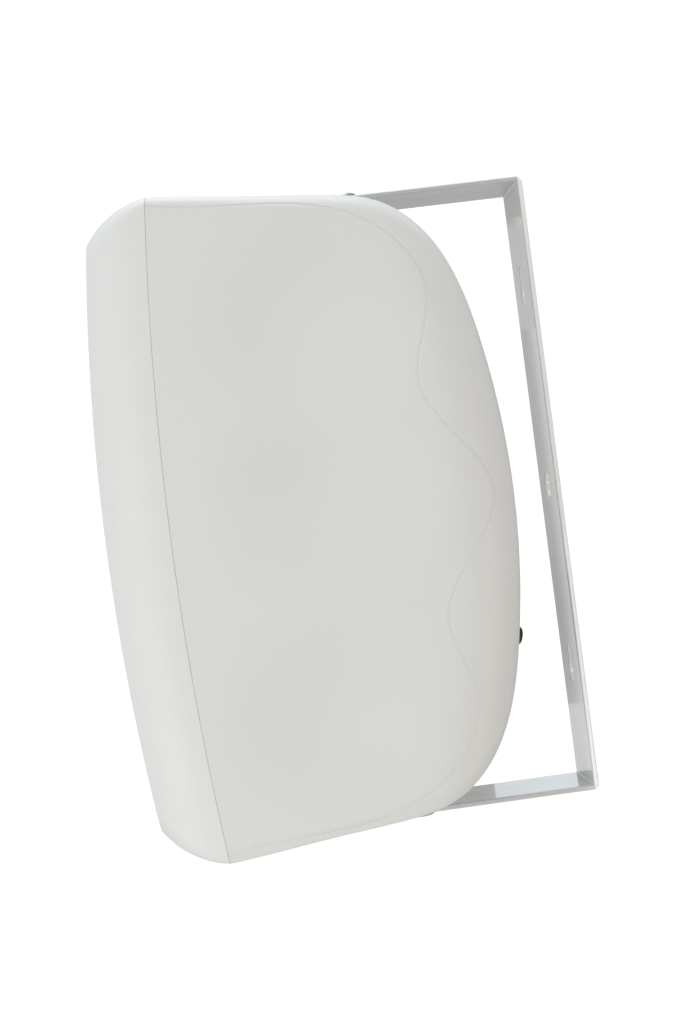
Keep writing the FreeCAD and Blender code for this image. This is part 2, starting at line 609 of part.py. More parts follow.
def cabinet():
    """Moulded shell with pivot bosses, bezel bosses, board standoffs and a seat for the terminal cup."""
    form = cabinet_form(0.0)
    hollow = cabinet_form(SHELL_WALL)
    skin = cabinet_form(SHELL_WALL / 2)
    solids = []
    for x, z in BEZEL_SCREWS:
        boss = rod_y(BEZEL_BOSS_DIAMETER / 2, BEZEL_BOSS_Y, BEZEL_BOSS_Y + BEZEL_BOSS_DEPTH, x, z)
        outward = math.copysign(SEAM_WIDTH / 2, x)
        rib_y = SEAM_Y + TONGUE_LENGTH + SHELL_WALL
        solids.append(boss)
        solids.append(block(min(x, outward), max(x, outward), rib_y, BEZEL_BOSS_Y + BEZEL_BOSS_DEPTH,
                            z - BEZEL_RIB_THICKNESS / 2, z + BEZEL_RIB_THICKNESS / 2))
    for x, z in BOARD_SCREWS:
        solids.append(rod_y(STANDOFF_DIAMETER / 2, BOARD_REAR_Y, REAR_Y, x, z))
    for end in SIDES:
        floor_z = BOSS_TOP_Z - INSERT_LENGTH - INSERT_FLOOR
        span = sorted((end * floor_z, end * SEAM_HEIGHT / 2))
        solids.append(rod_z(PIVOT_BOSS_DIAMETER / 2, span[0], span[1], 0, PIVOT_Y))
    seat = on_cup(rounded_plate(CUP_WIDTH / 2 + CUP_SEAT_WALL, CUP_HEIGHT / 2 + CUP_SEAT_WALL,
                                CUP_CORNER_RADIUS, -CUP_SEAT_DEPTH - CUP_SEAT_WALL, CUP_SEAT_DEPTH))
    inner = [solid.common(skin) for solid in solids + [seat]]
    shell = form.cut(hollow).cut(seam_slab(-FAR / 2, SEAM_GAP / 2))
    shell = shell.fuse(inner)
    pads = []
    for end in SIDES:
        span = sorted((end * (SEAM_HEIGHT / 2 - UPPER_CORNER_RADIUS / 2), end * BOSS_TOP_Z))
        pads.append(rod_z(PIVOT_BOSS_DIAMETER / 2, span[0], span[1], 0, PIVOT_Y))
    shell = shell.fuse([pad.cut(hollow) for pad in pads])
    cuts = [on_cup(rounded_plate(CUP_WIDTH / 2 + CUP_CLEARANCE, CUP_HEIGHT / 2 + CUP_CLEARANCE,
                                 CUP_CORNER_RADIUS, -CUP_SEAT_DEPTH, CUP_WIDTH)),
            on_cup(rounded_plate(CUP_WIDTH / 2 - CUP_MARGIN + CUP_CLEARANCE,
                                 CUP_HEIGHT / 2 - CUP_MARGIN + CUP_CLEARANCE,
                                 CUP_CORNER_RADIUS / 2, -CUP_WIDTH, 0))]
    for x, z in CUP_SCREWS:
        cuts.append(on_cup(rod_y(CUP_SCREW_DIAMETER / 2 + THREAD_CLEARANCE, -CUP_WIDTH / 2, 0, x, z)))
    for x, z in BEZEL_SCREWS:
        cuts.append(rod_y(BEZEL_SCREW_DIAMETER / 2 + THREAD_CLEARANCE, BEZEL_BOSS_Y,
                          BEZEL_SCREW_TIP_Y + 1, x, z))
    for x, z in BOARD_SCREWS:
        cuts.append(rod_y(BOARD_SCREW_DIAMETER / 2 + THREAD_CLEARANCE, BOARD_REAR_Y,
                          BOARD_FRONT_Y + BOARD_SCREW_LENGTH + 1, x, z))
    for end in SIDES:
        span = sorted((end * (BOSS_TOP_Z - INSERT_LENGTH), end * BOSS_TOP_Z))
        cuts.append(rod_z(INSERT_DIAMETER / 2, span[0], span[1], 0, PIVOT_Y))
    step = panel_step(form)
    cuts.append(step)
    cuts.append(step.mirror(Vector(0, 0, 0), AXIS_X))
    return shell.cut(cuts).removeSplitter()


def bezel():
    """Moulded front: rounded rim, bowed grille seat and flat baffle panel.

    Ports, screw pillars and a locating tongue are moulded with it."""
    span = bowed_slab(FRONT_Y, FRONT_RADIUS, SEAM_MIDDLE_Y - SEAM_GAP / 2, SEAM_RADIUS)
    body = bezel_form(0.0).common(span)
    tongue_outer = SHELL_WALL + TONGUE_CLEARANCE
    tongue_inner = tongue_outer + TONGUE_THICKNESS
    tongue = cabinet_form(tongue_outer).cut(cabinet_form(tongue_inner))
    tongue = tongue.common(seam_slab(-SEAM_GAP, TONGUE_LENGTH))
    pocket = bezel_form(tongue_inner).common(block(-FAR, FAR, BAFFLE_REAR_Y, FAR, -FAR, FAR))
    seat = rounded_plate(GRILLE_WIDTH / 2 + GRILLE_CLEARANCE, GRILLE_HEIGHT / 2 + GRILLE_CLEARANCE,
                         GRILLE_CORNER_RADIUS, FRONT_Y - 1, BAFFLE_Y)
    seat = seat.cut(front_slab(GRILLE_SETBACK + GRILLE_FLANGE, BAFFLE_RECESS))
    well = rounded_plate(WELL_HALF_WIDTH, WELL_HALF_HEIGHT, GRILLE_CORNER_RADIUS - GRILLE_LEDGE,
                         FRONT_Y - 1, BAFFLE_Y)
    body = body.cut([pocket, seat, well]).fuse(tongue)
    pillars = [rod_y(BEZEL_BOSS_DIAMETER / 2, BAFFLE_REAR_Y - 1, BEZEL_BOSS_Y, x, z)
               for x, z in BEZEL_SCREWS]
    tubes = [rod_y(PORT_RADIUS + PORT_WALL, BAFFLE_REAR_Y - 1, BAFFLE_Y + PORT_LENGTH, side * PORT_X, PORT_Z)
             for side in SIDES]
    body = body.fuse(pillars + tubes)
    cone_foot = WOOFER_OPENING_RADIUS + WOOFER_FRAME_SHEET + WOOFER_CUTOUT_CLEARANCE
    cuts = [rod_y(WOOFER_RADIUS + DRIVER_REBATE_CLEARANCE, BAFFLE_Y, BAFFLE_Y + WOOFER_FLANGE, 0, WOOFER_Z),
            rod_y(cone_foot, BAFFLE_Y, BAFFLE_REAR_Y, 0, WOOFER_Z),
            rod_y(TWEETER_RADIUS + DRIVER_REBATE_CLEARANCE, BAFFLE_Y, BAFFLE_Y + TWEETER_PLATE_THICKNESS,
                  0, TWEETER_Z),
            rod_y(TWEETER_MAGNET_RADIUS + WOOFER_CUTOUT_CLEARANCE, BAFFLE_Y, BAFFLE_REAR_Y, 0, TWEETER_Z)]
    for side in SIDES:
        cuts.append(rod_y(PORT_RADIUS, BAFFLE_Y, BAFFLE_Y + PORT_LENGTH, side * PORT_X, PORT_Z))
        cuts.append(Part.makeCone(PORT_RADIUS + PORT_FLARE, PORT_RADIUS, PORT_FLARE,
                                  Vector(side * PORT_X, BAFFLE_Y, PORT_Z), AXIS_Y))
    for x, z in BEZEL_SCREWS:
        cuts.append(rod_y(BEZEL_SCREW_DIAMETER / 2 + SCREW_CLEARANCE, BAFFLE_Y, BEZEL_BOSS_Y, x, z))
    for x, z in WOOFER_SCREWS + TWEETER_SCREWS:
        cuts.append(rod_y(WOOFER_SCREW_DIAMETER / 2 + THREAD_CLEARANCE, BAFFLE_Y, BAFFLE_REAR_Y, x, z))
    return body.cut(cuts).removeSplitter()


def seam_gasket():
    """Foam cord pressed between the two shells, set back from the outside."""
    cord = cabinet_form(GASKET_SETBACK).cut(cabinet_form(SHELL_WALL))
    return cord.common(seam_slab(-SEAM_GAP / 2, SEAM_GAP / 2))


def grille():
    """Bowed steel sheet with a folded edge and staggered rows of six-sided holes."""
    blank = rounded_plate(GRILLE_WIDTH / 2, GRILLE_HEIGHT / 2, GRILLE_CORNER_RADIUS, FRONT_Y - 1, BAFFLE_Y)
    core = rounded_plate(GRILLE_WIDTH / 2 - GRILLE_THICKNESS, GRILLE_HEIGHT / 2 - GRILLE_THICKNESS,
                         GRILLE_CORNER_RADIUS - GRILLE_THICKNESS, FRONT_Y - 1, BAFFLE_Y)
    sheet = blank.common(front_slab(GRILLE_SETBACK, GRILLE_THICKNESS))
    edge = blank.cut(core).common(front_slab(GRILLE_SETBACK, GRILLE_FLANGE))
    row_pitch = GRILLE_HOLE_PITCH * math.sqrt(3) / 2
    reach_x = GRILLE_WIDTH / 2 - GRILLE_BLANK_RIM - GRILLE_HOLE_WIDTH / 2
    reach_z = GRILLE_HEIGHT / 2 - GRILLE_BLANK_RIM - GRILLE_HOLE_WIDTH / 2
    rows = int(reach_z / row_pitch)
    hole = hexagon(GRILLE_HOLE_WIDTH, 0, 0, FRONT_Y - 1, BAFFLE_Y)
    hole.rotate(Vector(0, 0, 0), AXIS_Z, 30)
    hole.rotate(Vector(0, 0, 0), AXIS_X, -90)
    holes = []
    for row in range(-rows, rows + 1):
        shift = 0.5 * (row % 2)
        columns = int(reach_x / GRILLE_HOLE_PITCH - shift)
        for column in range(-columns - row % 2, columns + 1):
            holes.append(hole.translated(Vector((column + shift) * GRILLE_HOLE_PITCH, 0, row * row_pitch)))
    return sheet.cut(holes).fuse(edge).removeSplitter()


def woofer_frame():
    """Pressed basket: flange, sloping legs between windows, spider ledge and neck."""
    sheet = WOOFER_FRAME_SHEET
    profile = [(WOOFER_OPENING_RADIUS, 0), (WOOFER_RADIUS, 0), (WOOFER_RADIUS, WOOFER_FLANGE),
               (WOOFER_OPENING_RADIUS + sheet, WOOFER_FLANGE),
               (WOOFER_LEDGE_RADIUS + sheet, WOOFER_LEDGE_DEPTH + sheet),
               (WOOFER_NECK_RADIUS + sheet, WOOFER_LEDGE_DEPTH + sheet),
               (WOOFER_NECK_RADIUS + sheet, WOOFER_NECK_DEPTH + sheet),
               (MAGNET_BORE_RADIUS, WOOFER_NECK_DEPTH + sheet), (MAGNET_BORE_RADIUS, WOOFER_NECK_DEPTH),
               (WOOFER_NECK_RADIUS, WOOFER_NECK_DEPTH), (WOOFER_NECK_RADIUS, WOOFER_LEDGE_DEPTH),
               (WOOFER_LEDGE_RADIUS, WOOFER_LEDGE_DEPTH), (WOOFER_OPENING_RADIUS, WOOFER_FLANGE)]
    frame = turned(profile, BAFFLE_Y, WOOFER_Z)
    cuts = []
    for index in range(WOOFER_WINDOWS):
        window = block(-WOOFER_WINDOW_WIDTH / 2, WOOFER_WINDOW_WIDTH / 2,
                       BAFFLE_Y + 2 * WOOFER_FLANGE, BAFFLE_Y + WOOFER_LEDGE_DEPTH - WOOFER_FLANGE,
                       WOOFER_Z + WOOFER_NECK_RADIUS, WOOFER_Z + WOOFER_RADIUS)
        window.rotate(Vector(0, 0, WOOFER_Z), AXIS_Y, 360 / WOOFER_WINDOWS * (index + 0.5))
        cuts.append(window)
    for x, z in WOOFER_SCREWS:
        cuts.append(rod_y(WOOFER_SCREW_DIAMETER / 2 + SCREW_CLEARANCE, BAFFLE_Y,
                          BAFFLE_Y + WOOFER_FLANGE, x, z))
    return frame.cut(cuts)


ROLL_INNER = WOOFER_OPENING_RADIUS - 2 * SURROUND_ROLL_RADIUS
SURROUND_OUTER = WOOFER_OPENING_RADIUS + SURROUND_GLUE_WIDTH
FORMER_OUTER = COIL_RADIUS + COIL_FORMER
CONE_SLOPE = (WOOFER_LEDGE_DEPTH - CONE_LIP) / (ROLL_INNER - CONE_LIP - FORMER_OUTER)


def cone_depth(radius):
    """Depth of the cone's front at a radius."""
    return (ROLL_INNER - CONE_LIP - radius) * CONE_SLOPE


def woofer_surround():
    """Rubber half-roll between the cone's lip and the frame's flange."""
    middle = WOOFER_OPENING_RADIUS - SURROUND_ROLL_RADIUS
    roll = SURROUND_ROLL_RADIUS
    sheet = SURROUND_SHEET
    profile = [(ROLL_INNER - CONE_LIP, 0), (ROLL_INNER - CONE_LIP, -sheet), (ROLL_INNER, -sheet),
               (middle, -sheet - roll, 1), (WOOFER_OPENING_RADIUS, -sheet), (SURROUND_OUTER, -sheet),
               (SURROUND_OUTER, 0), (WOOFER_OPENING_RADIUS - sheet, 0), (middle, sheet - roll, 1),
               (ROLL_INNER + sheet, 0)]
    return turned(profile, BAFFLE_Y, WOOFER_Z)


def woofer_cone():
    """Paper cone with a flat lip for the surround and a short neck glued to the coil former."""
    lip = ROLL_INNER - CONE_LIP
    neck = cone_depth(FORMER_OUTER)
    neck_outer = FORMER_OUTER + CONE_SHEET
    neck_end = neck + 2 * CONE_SHEET
    profile = [(FORMER_OUTER, neck), (lip, 0), (ROLL_INNER, 0), (ROLL_INNER, CONE_SHEET), (lip, CONE_SHEET),
               (neck_outer, neck + CONE_SHEET), (neck_outer, neck_end), (FORMER_OUTER, neck_end)]
    return turned(profile, BAFFLE_Y, WOOFER_Z)


def sphere_point(sphere_radius, centre, radius):
    """Middle point of an arc that is part of a sphere on the axis."""
    return (radius, centre - math.sqrt(sphere_radius ** 2 - radius ** 2), 1)


def woofer_dust_cap():
    """Shallow dome glued to the front of the cone."""
    rim = DUST_CAP_RADIUS
    apex = cone_depth(rim) - DUST_CAP_RISE
    outer = bow_radius(DUST_CAP_RISE, rim)
    inner = outer - DUST_CAP_SHEET
    centre = apex + outer
    reach = cone_depth(0) - centre
    square = 1 + CONE_SLOPE ** 2
    inner_rim = (CONE_SLOPE * reach + math.sqrt(square * inner ** 2 - reach ** 2)) / square
    profile = [(0, apex), sphere_point(outer, centre, rim / 2), (rim, cone_depth(rim)),
               (inner_rim, cone_depth(inner_rim)), sphere_point(inner, centre, inner_rim / 2),
               (0, centre - inner)]
    return turned(profile, BAFFLE_Y, WOOFER_Z)


WOOFER_PLATE_DEPTH = WOOFER_NECK_DEPTH + WOOFER_FRAME_SHEET
WOOFER_MAGNET_DEPTH = WOOFER_PLATE_DEPTH + TOP_PLATE_THICKNESS
WOOFER_BACK_DEPTH = WOOFER_MAGNET_DEPTH + MAGNET_THICKNESS


def woofer_voice_coil():
    """Coil former with its copper winding centred in the magnet's gap."""
    start = cone_depth(FORMER_OUTER) - CONE_SHEET
    middle = WOOFER_PLATE_DEPTH + TOP_PLATE_THICKNESS / 2
    wound = middle - COIL_WINDING_LENGTH / 2
    end = middle + COIL_WINDING_LENGTH / 2
    outer = FORMER_OUTER + COIL_WINDING
    profile = [(COIL_RADIUS, start), (FORMER_OUTER, start), (FORMER_OUTER, wound), (outer, wound),
               (outer, end), (COIL_RADIUS, end)]
    return turned(profile, BAFFLE_Y, WOOFER_Z)


def woofer_spider():
    """Corrugated cloth disc that centres the coil, glued to the frame's ledge."""
    wave_start = FORMER_OUTER + 2 * CONE_SHEET
    wave_end = WOOFER_NECK_RADIUS
    front = WOOFER_LEDGE_DEPTH - SPIDER_SHEET
    back = WOOFER_LEDGE_DEPTH
    rim = WOOFER_LEDGE_RADIUS - CONE_SHEET
    folds = 2 * SPIDER_WAVES
    wave = [(wave_start + (wave_end - wave_start) * step / folds, -SPIDER_WAVE * (step % 2))
            for step in range(folds + 1)]
    profile = [(FORMER_OUTER, front)]
    profile += [(radius, front + swing) for radius, swing in wave]
    profile += [(rim, front), (rim, back)]
    profile += [(radius, back + swing) for radius, swing in wave[::-1]]
    profile += [(FORMER_OUTER, back)]
    return turned(profile, BAFFLE_Y, WOOFER_Z)


def woofer_ring():
    """Front trim ring on the frame's flange, cut out round the screw heads."""
    trim = ring(WOOFER_RADIUS, SURROUND_OUTER + SCREW_CLEARANCE, -WOOFER_RING_THICKNESS,
                WOOFER_RING_THICKNESS, BAFFLE_Y, WOOFER_Z)
    heads = [rod_y(WOOFER_SCREW_HEAD_DIAMETER / 2 + SCREW_CLEARANCE, BAFFLE_Y - FAR / 4, BAFFLE_Y, x, z)
             for x, z in WOOFER_SCREWS]
    return trim.cut(heads)


def motor_plate(radius, gap_radius, depth, thickness, z):
    """Steel plate in front of a ring magnet, with the coil's gap in its middle."""
    return ring(radius, gap_radius, depth, thickness, BAFFLE_Y, z)


def motor_yoke(radius, pole_radius, pole_depth, depth, thickness, z):
    """Back plate and pole in one piece, vented through the middle."""
    profile = [(POLE_VENT_RADIUS, pole_depth), (pole_radius, pole_depth), (pole_radius, depth),
               (radius, depth), (radius, depth + thickness), (POLE_VENT_RADIUS, depth + thickness)]
    return turned(profile, BAFFLE_Y, z)


def pan_screw(diameter, length, head_diameter, head_height, x, y, z):
    """Pan-head screw along Y, with the underside of its head at y."""
    head = rod_y(head_diameter / 2, y - head_height, y, x, z)
    rim = [edge for edge in head.Edges if edge.BoundBox.YMax < y - head_height / 2]
    shank = rod_y(diameter / 2, y, y + length, x, z)
    return head.makeFillet(head_height / 2, rim).fuse(shank).removeSplitter()


def driver_screws(places):
    """Screws that hold a driver to the baffle."""
    screws = [pan_screw(WOOFER_SCREW_DIAMETER, WOOFER_SCREW_LENGTH, WOOFER_SCREW_HEAD_DIAMETER,
                        WOOFER_SCREW_HEAD_HEIGHT, x, BAFFLE_Y, z) for x, z in places]
    return Part.makeCompound(screws)


TWEETER_GLUE_DEPTH = TWEETER_PLATE_THICKNESS - DOME_SHEET
ROLL_OUTER = DOME_RADIUS + 2 * DOME_ROLL_RADIUS
DOME_SEAT_RADIUS = ROLL_OUTER + DOME_GLUE_WIDTH
TWEETER_MAGNET_DEPTH = TWEETER_PLATE_THICKNESS + TWEETER_TOP_PLATE_THICKNESS
TWEETER_BACK_DEPTH = TWEETER_MAGNET_DEPTH + TWEETER_MAGNET_THICKNESS
TWEETER_REAR_Y = BAFFLE_Y + TWEETER_BACK_DEPTH + TWEETER_BACK_PLATE_THICKNESS


def tweeter_plate():
    """Moulded faceplate with a flared mouth round the dome."""
    profile = [(TWEETER_MOUTH_RADIUS, 0), (TWEETER_RADIUS, 0), (TWEETER_RADIUS, TWEETER_PLATE_THICKNESS),
               (DOME_SEAT_RADIUS + GRILLE_CLEARANCE, TWEETER_PLATE_THICKNESS),
               (DOME_SEAT_RADIUS + GRILLE_CLEARANCE, TWEETER_GLUE_DEPTH),
               (TWEETER_THROAT_RADIUS, TWEETER_GLUE_DEPTH),
               (TWEETER_THROAT_RADIUS, TWEETER_GLUE_DEPTH - DOME_SHEET)]
    holes = [rod_y(WOOFER_SCREW_DIAMETER / 2 + SCREW_CLEARANCE, BAFFLE_Y,
                   BAFFLE_Y + TWEETER_PLATE_THICKNESS, x, z) for x, z in TWEETER_SCREWS]
    return turned(profile, BAFFLE_Y, TWEETER_Z).cut(holes)


def tweeter_surround():
    """Soft roll between the dome and its glued rim."""
    middle = DOME_RADIUS + DOME_ROLL_RADIUS
    roll = DOME_ROLL_RADIUS
    front = TWEETER_GLUE_DEPTH
    back = TWEETER_PLATE_THICKNESS
    profile = [(DOME_RADIUS, front), (middle, front - roll, 1), (ROLL_OUTER, front),
               (DOME_SEAT_RADIUS, front), (DOME_SEAT_RADIUS, back), (ROLL_OUTER - DOME_SHEET, back),
               (middle, front - roll + DOME_SHEET, 1),
               (DOME_RADIUS + DOME_SHEET, back), (DOME_RADIUS, back)]
    return turned(profile, BAFFLE_Y, TWEETER_Z)


def tweeter_dome():
    """Soft dome over the tweeter's coil."""
    rim = TWEETER_PLATE_THICKNESS
    apex = rim - DOME_RISE
    outer = bow_radius(DOME_RISE, DOME_RADIUS)
    inner = outer - DOME_SHEET
    centre = apex + outer
    inner_rim = math.sqrt(inner ** 2 - (centre - rim) ** 2)
    profile = [(0, apex), sphere_point(outer, centre, DOME_RADIUS / 2), (DOME_RADIUS, rim), (inner_rim, rim),
               sphere_point(inner, centre, inner_rim / 2), (0, apex + DOME_SHEET)]
    return turned(profile, BAFFLE_Y, TWEETER_Z)


def tweeter_voice_coil():
    """Coil under the dome's rim."""
    return ring(DOME_RADIUS, DOME_RADIUS - 2 * DOME_SHEET, TWEETER_PLATE_THICKNESS, TWEETER_COIL_LENGTH,
                BAFFLE_Y, TWEETER_Z)


def crossover_board():
    """Circuit board on four standoffs."""
    board = block(-BOARD_WIDTH / 2, BOARD_WIDTH / 2, BOARD_FRONT_Y, BOARD_REAR_Y,
                  BOARD_Z - BOARD_HEIGHT / 2, BOARD_Z + BOARD_HEIGHT / 2)
    holes = [rod_y(BOARD_SCREW_DIAMETER / 2 + SCREW_CLEARANCE, BOARD_FRONT_Y, BOARD_REAR_Y, x, z)
             for x, z in BOARD_SCREWS]
    return board.cut(holes)


def board_screws():
    """Screws of the circuit board."""
    screws = [pan_screw(BOARD_SCREW_DIAMETER, BOARD_SCREW_LENGTH, 2 * BOARD_SCREW_DIAMETER,
                        BOARD_SCREW_DIAMETER * 0.7, x, BOARD_FRONT_Y, z) for x, z in BOARD_SCREWS]
    return Part.makeCompound(screws)


def choke(radius, height, x, z):
    """Air-core coil wound on a flanged bobbin, standing on the board."""
    flange = height / 10
    bore = radius / 3
    wound = radius - flange
    profile = [(bore, 0), (radius, 0), (radius, flange), (wound, flange), (wound, height - flange),
               (radius, height - flange), (radius, height), (bore, height)]
    coil = turned(profile, BOARD_FRONT_Y - height, z)
    coil.translate(Vector(x, 0, 0))
    return coil


LARGE_CHOKE_X = -BOARD_AISLE - LARGE_CHOKE_RADIUS
LARGE_CHOKE_Z = BOARD_Z + BOARD_HEIGHT / 2 - LARGE_CHOKE_RADIUS - BOARD_MARGIN
SMALL_CHOKE_X = BOARD_AISLE + SMALL_CHOKE_RADIUS + BOARD_MARGIN
SMALL_CHOKE_Z = BOARD_Z - BOARD_HEIGHT / 2 + SMALL_CHOKE_RADIUS + BOARD_MARGIN / 2


def capacitors():
    """Two film capacitors lying on the board."""
    y = BOARD_FRONT_Y - CAPACITOR_RADIUS
    top = BOARD_Z + BOARD_HEIGHT / 2 - BOARD_MARGIN - CAPACITOR_RADIUS
    cans = [Part.makeCylinder(CAPACITOR_RADIUS, CAPACITOR_LENGTH, Vector(BOARD_AISLE, y, z), AXIS_X)
            for z in (top, top - 2.2 * CAPACITOR_RADIUS)]
    return Part.makeCompound(cans)


def resistor():
    """Ceramic power resistor lying on the board."""
    z = BOARD_Z - BOARD_HEIGHT / 2 + RESISTOR_WIDTH
    end = -BOARD_WIDTH / 2 + RESISTOR_FROM_END
    return block(end, end + RESISTOR_LENGTH, BOARD_FRONT_Y - RESISTOR_WIDTH, BOARD_FRONT_Y,
                 z, z + RESISTOR_WIDTH)


CUP_FACE = CUP_FLANGE - CUP_SEAT_DEPTH


def screw_head(clearance, x, z):
    """Sunk head of a cup screw, flush with the cup's flange and grown by a clearance."""
    shank = CUP_SCREW_DIAMETER / 2 + clearance
    head = CUP_SCREW_HEAD_DIAMETER / 2 + clearance
    return Part.makeCone(shank, head, head - shank, Vector(x, CUP_FACE - head + shank, z), AXIS_Y)


def terminal_cup():
    """Shallow moulded dish with a flange, sunk flush in the back."""
    half_width = CUP_WIDTH / 2
    half_height = CUP_HEIGHT / 2
    cup = rounded_plate(half_width, half_height, CUP_CORNER_RADIUS, -CUP_SEAT_DEPTH, CUP_FACE)
    cup = cup.fuse(rounded_plate(half_width - CUP_MARGIN, half_height - CUP_MARGIN, CUP_CORNER_RADIUS / 2,
                                 CUP_FLOOR - CUP_WALL, -CUP_SEAT_DEPTH))
    dish = rounded_plate(half_width - CUP_MARGIN - CUP_WALL, half_height - CUP_MARGIN - CUP_WALL,
                         CUP_CORNER_RADIUS / 2 - CUP_WALL, CUP_FLOOR, CUP_SEAT_DEPTH)
    floor = [edge for edge in dish.Edges if edge.BoundBox.YMax < CUP_FLOOR + 1e-6]
    cuts = [dish.makeFillet(CUP_WALL, floor)]
    for x, z in CUP_SCREWS:
        cuts.append(rod_y(CUP_SCREW_DIAMETER / 2 + SCREW_CLEARANCE, -CUP_SEAT_DEPTH, 0, x, z))
        cuts.append(screw_head(THREAD_CLEARANCE, x, z))
    for side in SIDES:
        cuts.append(rod_y(POST_STUD_RADIUS + THREAD_CLEARANCE, CUP_FLOOR - CUP_WALL, CUP_FLOOR,
                          side * POST_SPACING / 2, 0))
    return on_cup(cup.cut(cuts).removeSplitter())


def cup_screws():
    """Countersunk screws of the terminal cup, driven from behind."""
    screws = []
    sunk = (CUP_SCREW_HEAD_DIAMETER - CUP_SCREW_DIAMETER) / 2
    for x, z in CUP_SCREWS:
        shank = rod_y(CUP_SCREW_DIAMETER / 2, CUP_FACE - CUP_SCREW_LENGTH, CUP_FACE - sunk, x, z)
        screws.append(on_cup(screw_head(0.0, x, z).fuse(shank).removeSplitter()))
    return Part.makeCompound(screws)


STUD_TOP = CUP_FLOOR + POST_COLLAR_HEIGHT + THUMB_NUT_LENGTH - 2 * THUMB_NUT_TIP_RADIUS
STUD_END = CUP_FLOOR - CUP_WALL - STUD_INSIDE_LENGTH


def post_studs():
    """Threaded studs of the binding posts."""
    studs = [on_cup(rod_y(POST_STUD_RADIUS, STUD_END, STUD_TOP, side * POST_SPACING / 2)) for side in SIDES]
    return Part.makeCompound(studs)


def post_collars():
    """Insulating collars on the cup's floor."""
    collars = []
    for side in SIDES:
        x = side * POST_SPACING / 2
        collar = rod_y(POST_COLLAR_RADIUS, CUP_FLOOR, CUP_FLOOR + POST_COLLAR_HEIGHT, x)
        bore = rod_y(POST_STUD_RADIUS + THREAD_CLEARANCE, CUP_FLOOR, CUP_FLOOR + POST_COLLAR_HEIGHT, x)
        collars.append(on_cup(collar.cut(bore)))
    return Part.makeCompound(collars)


def lock_nuts():
    """Hexagon nuts that clamp the posts from inside."""
    nuts = []
    for side in SIDES:
        nut = hexagon(LOCK_NUT_WIDTH, 0, 0, 0, LOCK_NUT_HEIGHT)
        nut = nut.cut(rod_z(POST_STUD_RADIUS + THREAD_CLEARANCE, 0, LOCK_NUT_HEIGHT))
        nut.rotate(Vector(0, 0, 0), AXIS_X, 90)
        nut.translate(Vector(side * POST_SPACING / 2, CUP_FLOOR - CUP_WALL, 0))
        nuts.append(on_cup(nut))
    return Part.makeCompound(nuts)


def thumb_nut(side):
    """Fluted plastic nut with a rounded tip, on one binding post."""
    start = CUP_FLOOR + POST_COLLAR_HEIGHT
    nut = rod_y(THUMB_NUT_RADIUS, start, start + THUMB_NUT_LENGTH)
    tip = [edge for edge in nut.Edges if edge.BoundBox.YMin > start + THUMB_NUT_LENGTH - 1e-6]
    nut = nut.makeFillet(THUMB_NUT_TIP_RADIUS, tip)
    cuts = [rod_y(POST_STUD_RADIUS + THREAD_CLEARANCE, start, STUD_TOP + THREAD_CLEARANCE)]
    for index in range(THUMB_NUT_FLUTES):
        turn = 2 * math.pi * index / THUMB_NUT_FLUTES
        cuts.append(rod_y(THUMB_NUT_FLUTE_RADIUS, start, start + THUMB_NUT_LENGTH,
                          THUMB_NUT_RADIUS * math.cos(turn), THUMB_NUT_RADIUS * math.sin(turn)))
    nut = nut.cut(cuts)
    nut.translate(Vector(side * POST_SPACING / 2, 0, 0))
    return on_cup(nut)


def mirrored_pair(shape):
    """A piece at the upper arm and the same piece at the lower arm."""
    return Part.makeCompound([shape, shape.mirror(Vector(0, 0, 0), AXIS_Z)])


def pivot_bolts():
    """Low round-headed bolts with a hexagon socket, through the arms into the cabinet's inserts."""
    seat = BRACKET_HEIGHT / 2 + STEEL_WASHER_THICKNESS
    top = seat + BOLT_HEAD_HEIGHT
    head = rod_z(BOLT_HEAD_DIAMETER / 2, seat, top, 0, PIVOT_Y)
    rim = [edge for edge in head.Edges if edge.BoundBox.ZMin > top - BOLT_HEAD_HEIGHT / 2]
    shank = rod_z(BOLT_DIAMETER / 2 - THREAD_CLEARANCE, BOSS_TOP_Z - INSERT_LENGTH + 1, seat, 0, PIVOT_Y)
    bolt = head.makeFillet(BOLT_HEAD_ROUND, rim).fuse(shank).removeSplitter()
    return mirrored_pair(bolt.cut(hexagon(BOLT_SOCKET_WIDTH, 0, PIVOT_Y, top - BOLT_SOCKET_DEPTH, top + 1)))


def flat_washer(outer, inner, z0, z1):
    """Washer on the pivot."""
    return rod_z(outer, z0, z1, 0, PIVOT_Y).cut(rod_z(inner, z0, z1, 0, PIVOT_Y))


def steel_washers():
    """Washers under the bolt heads."""
    return mirrored_pair(flat_washer(STEEL_WASHER_DIAMETER / 2, BOLT_DIAMETER / 2 + BOLT_HOLE_CLEARANCE,
                                     BRACKET_HEIGHT / 2, BRACKET_HEIGHT / 2 + STEEL_WASHER_THICKNESS))


def rubber_washers():
    """Friction washers between the arms and the cabinet's bosses."""
    return mirrored_pair(flat_washer(RUBBER_WASHER_DIAMETER / 2, BOLT_DIAMETER / 2 + BOLT_HOLE_CLEARANCE,
                                     BOSS_TOP_Z, ARM_INNER_Z))


def threaded_inserts():
    """Brass inserts moulded into the pivot bosses."""
    return mirrored_pair(flat_washer(INSERT_DIAMETER / 2, BOLT_DIAMETER / 2,
                                     BOSS_TOP_Z - INSERT_LENGTH, BOSS_TOP_Z))


def bezel_screws():
    """Screws that hold the bezel to the cabinet, hidden by the grille."""
    length = BEZEL_SCREW_TIP_Y - BAFFLE_Y
    screws = [pan_screw(BEZEL_SCREW_DIAMETER, length, BEZEL_SCREW_HEAD_DIAMETER,
                        BEZEL_SCREW_HEAD_HEIGHT, x, BAFFLE_Y, z) for x, z in BEZEL_SCREWS]
    return Part.makeCompound(screws)


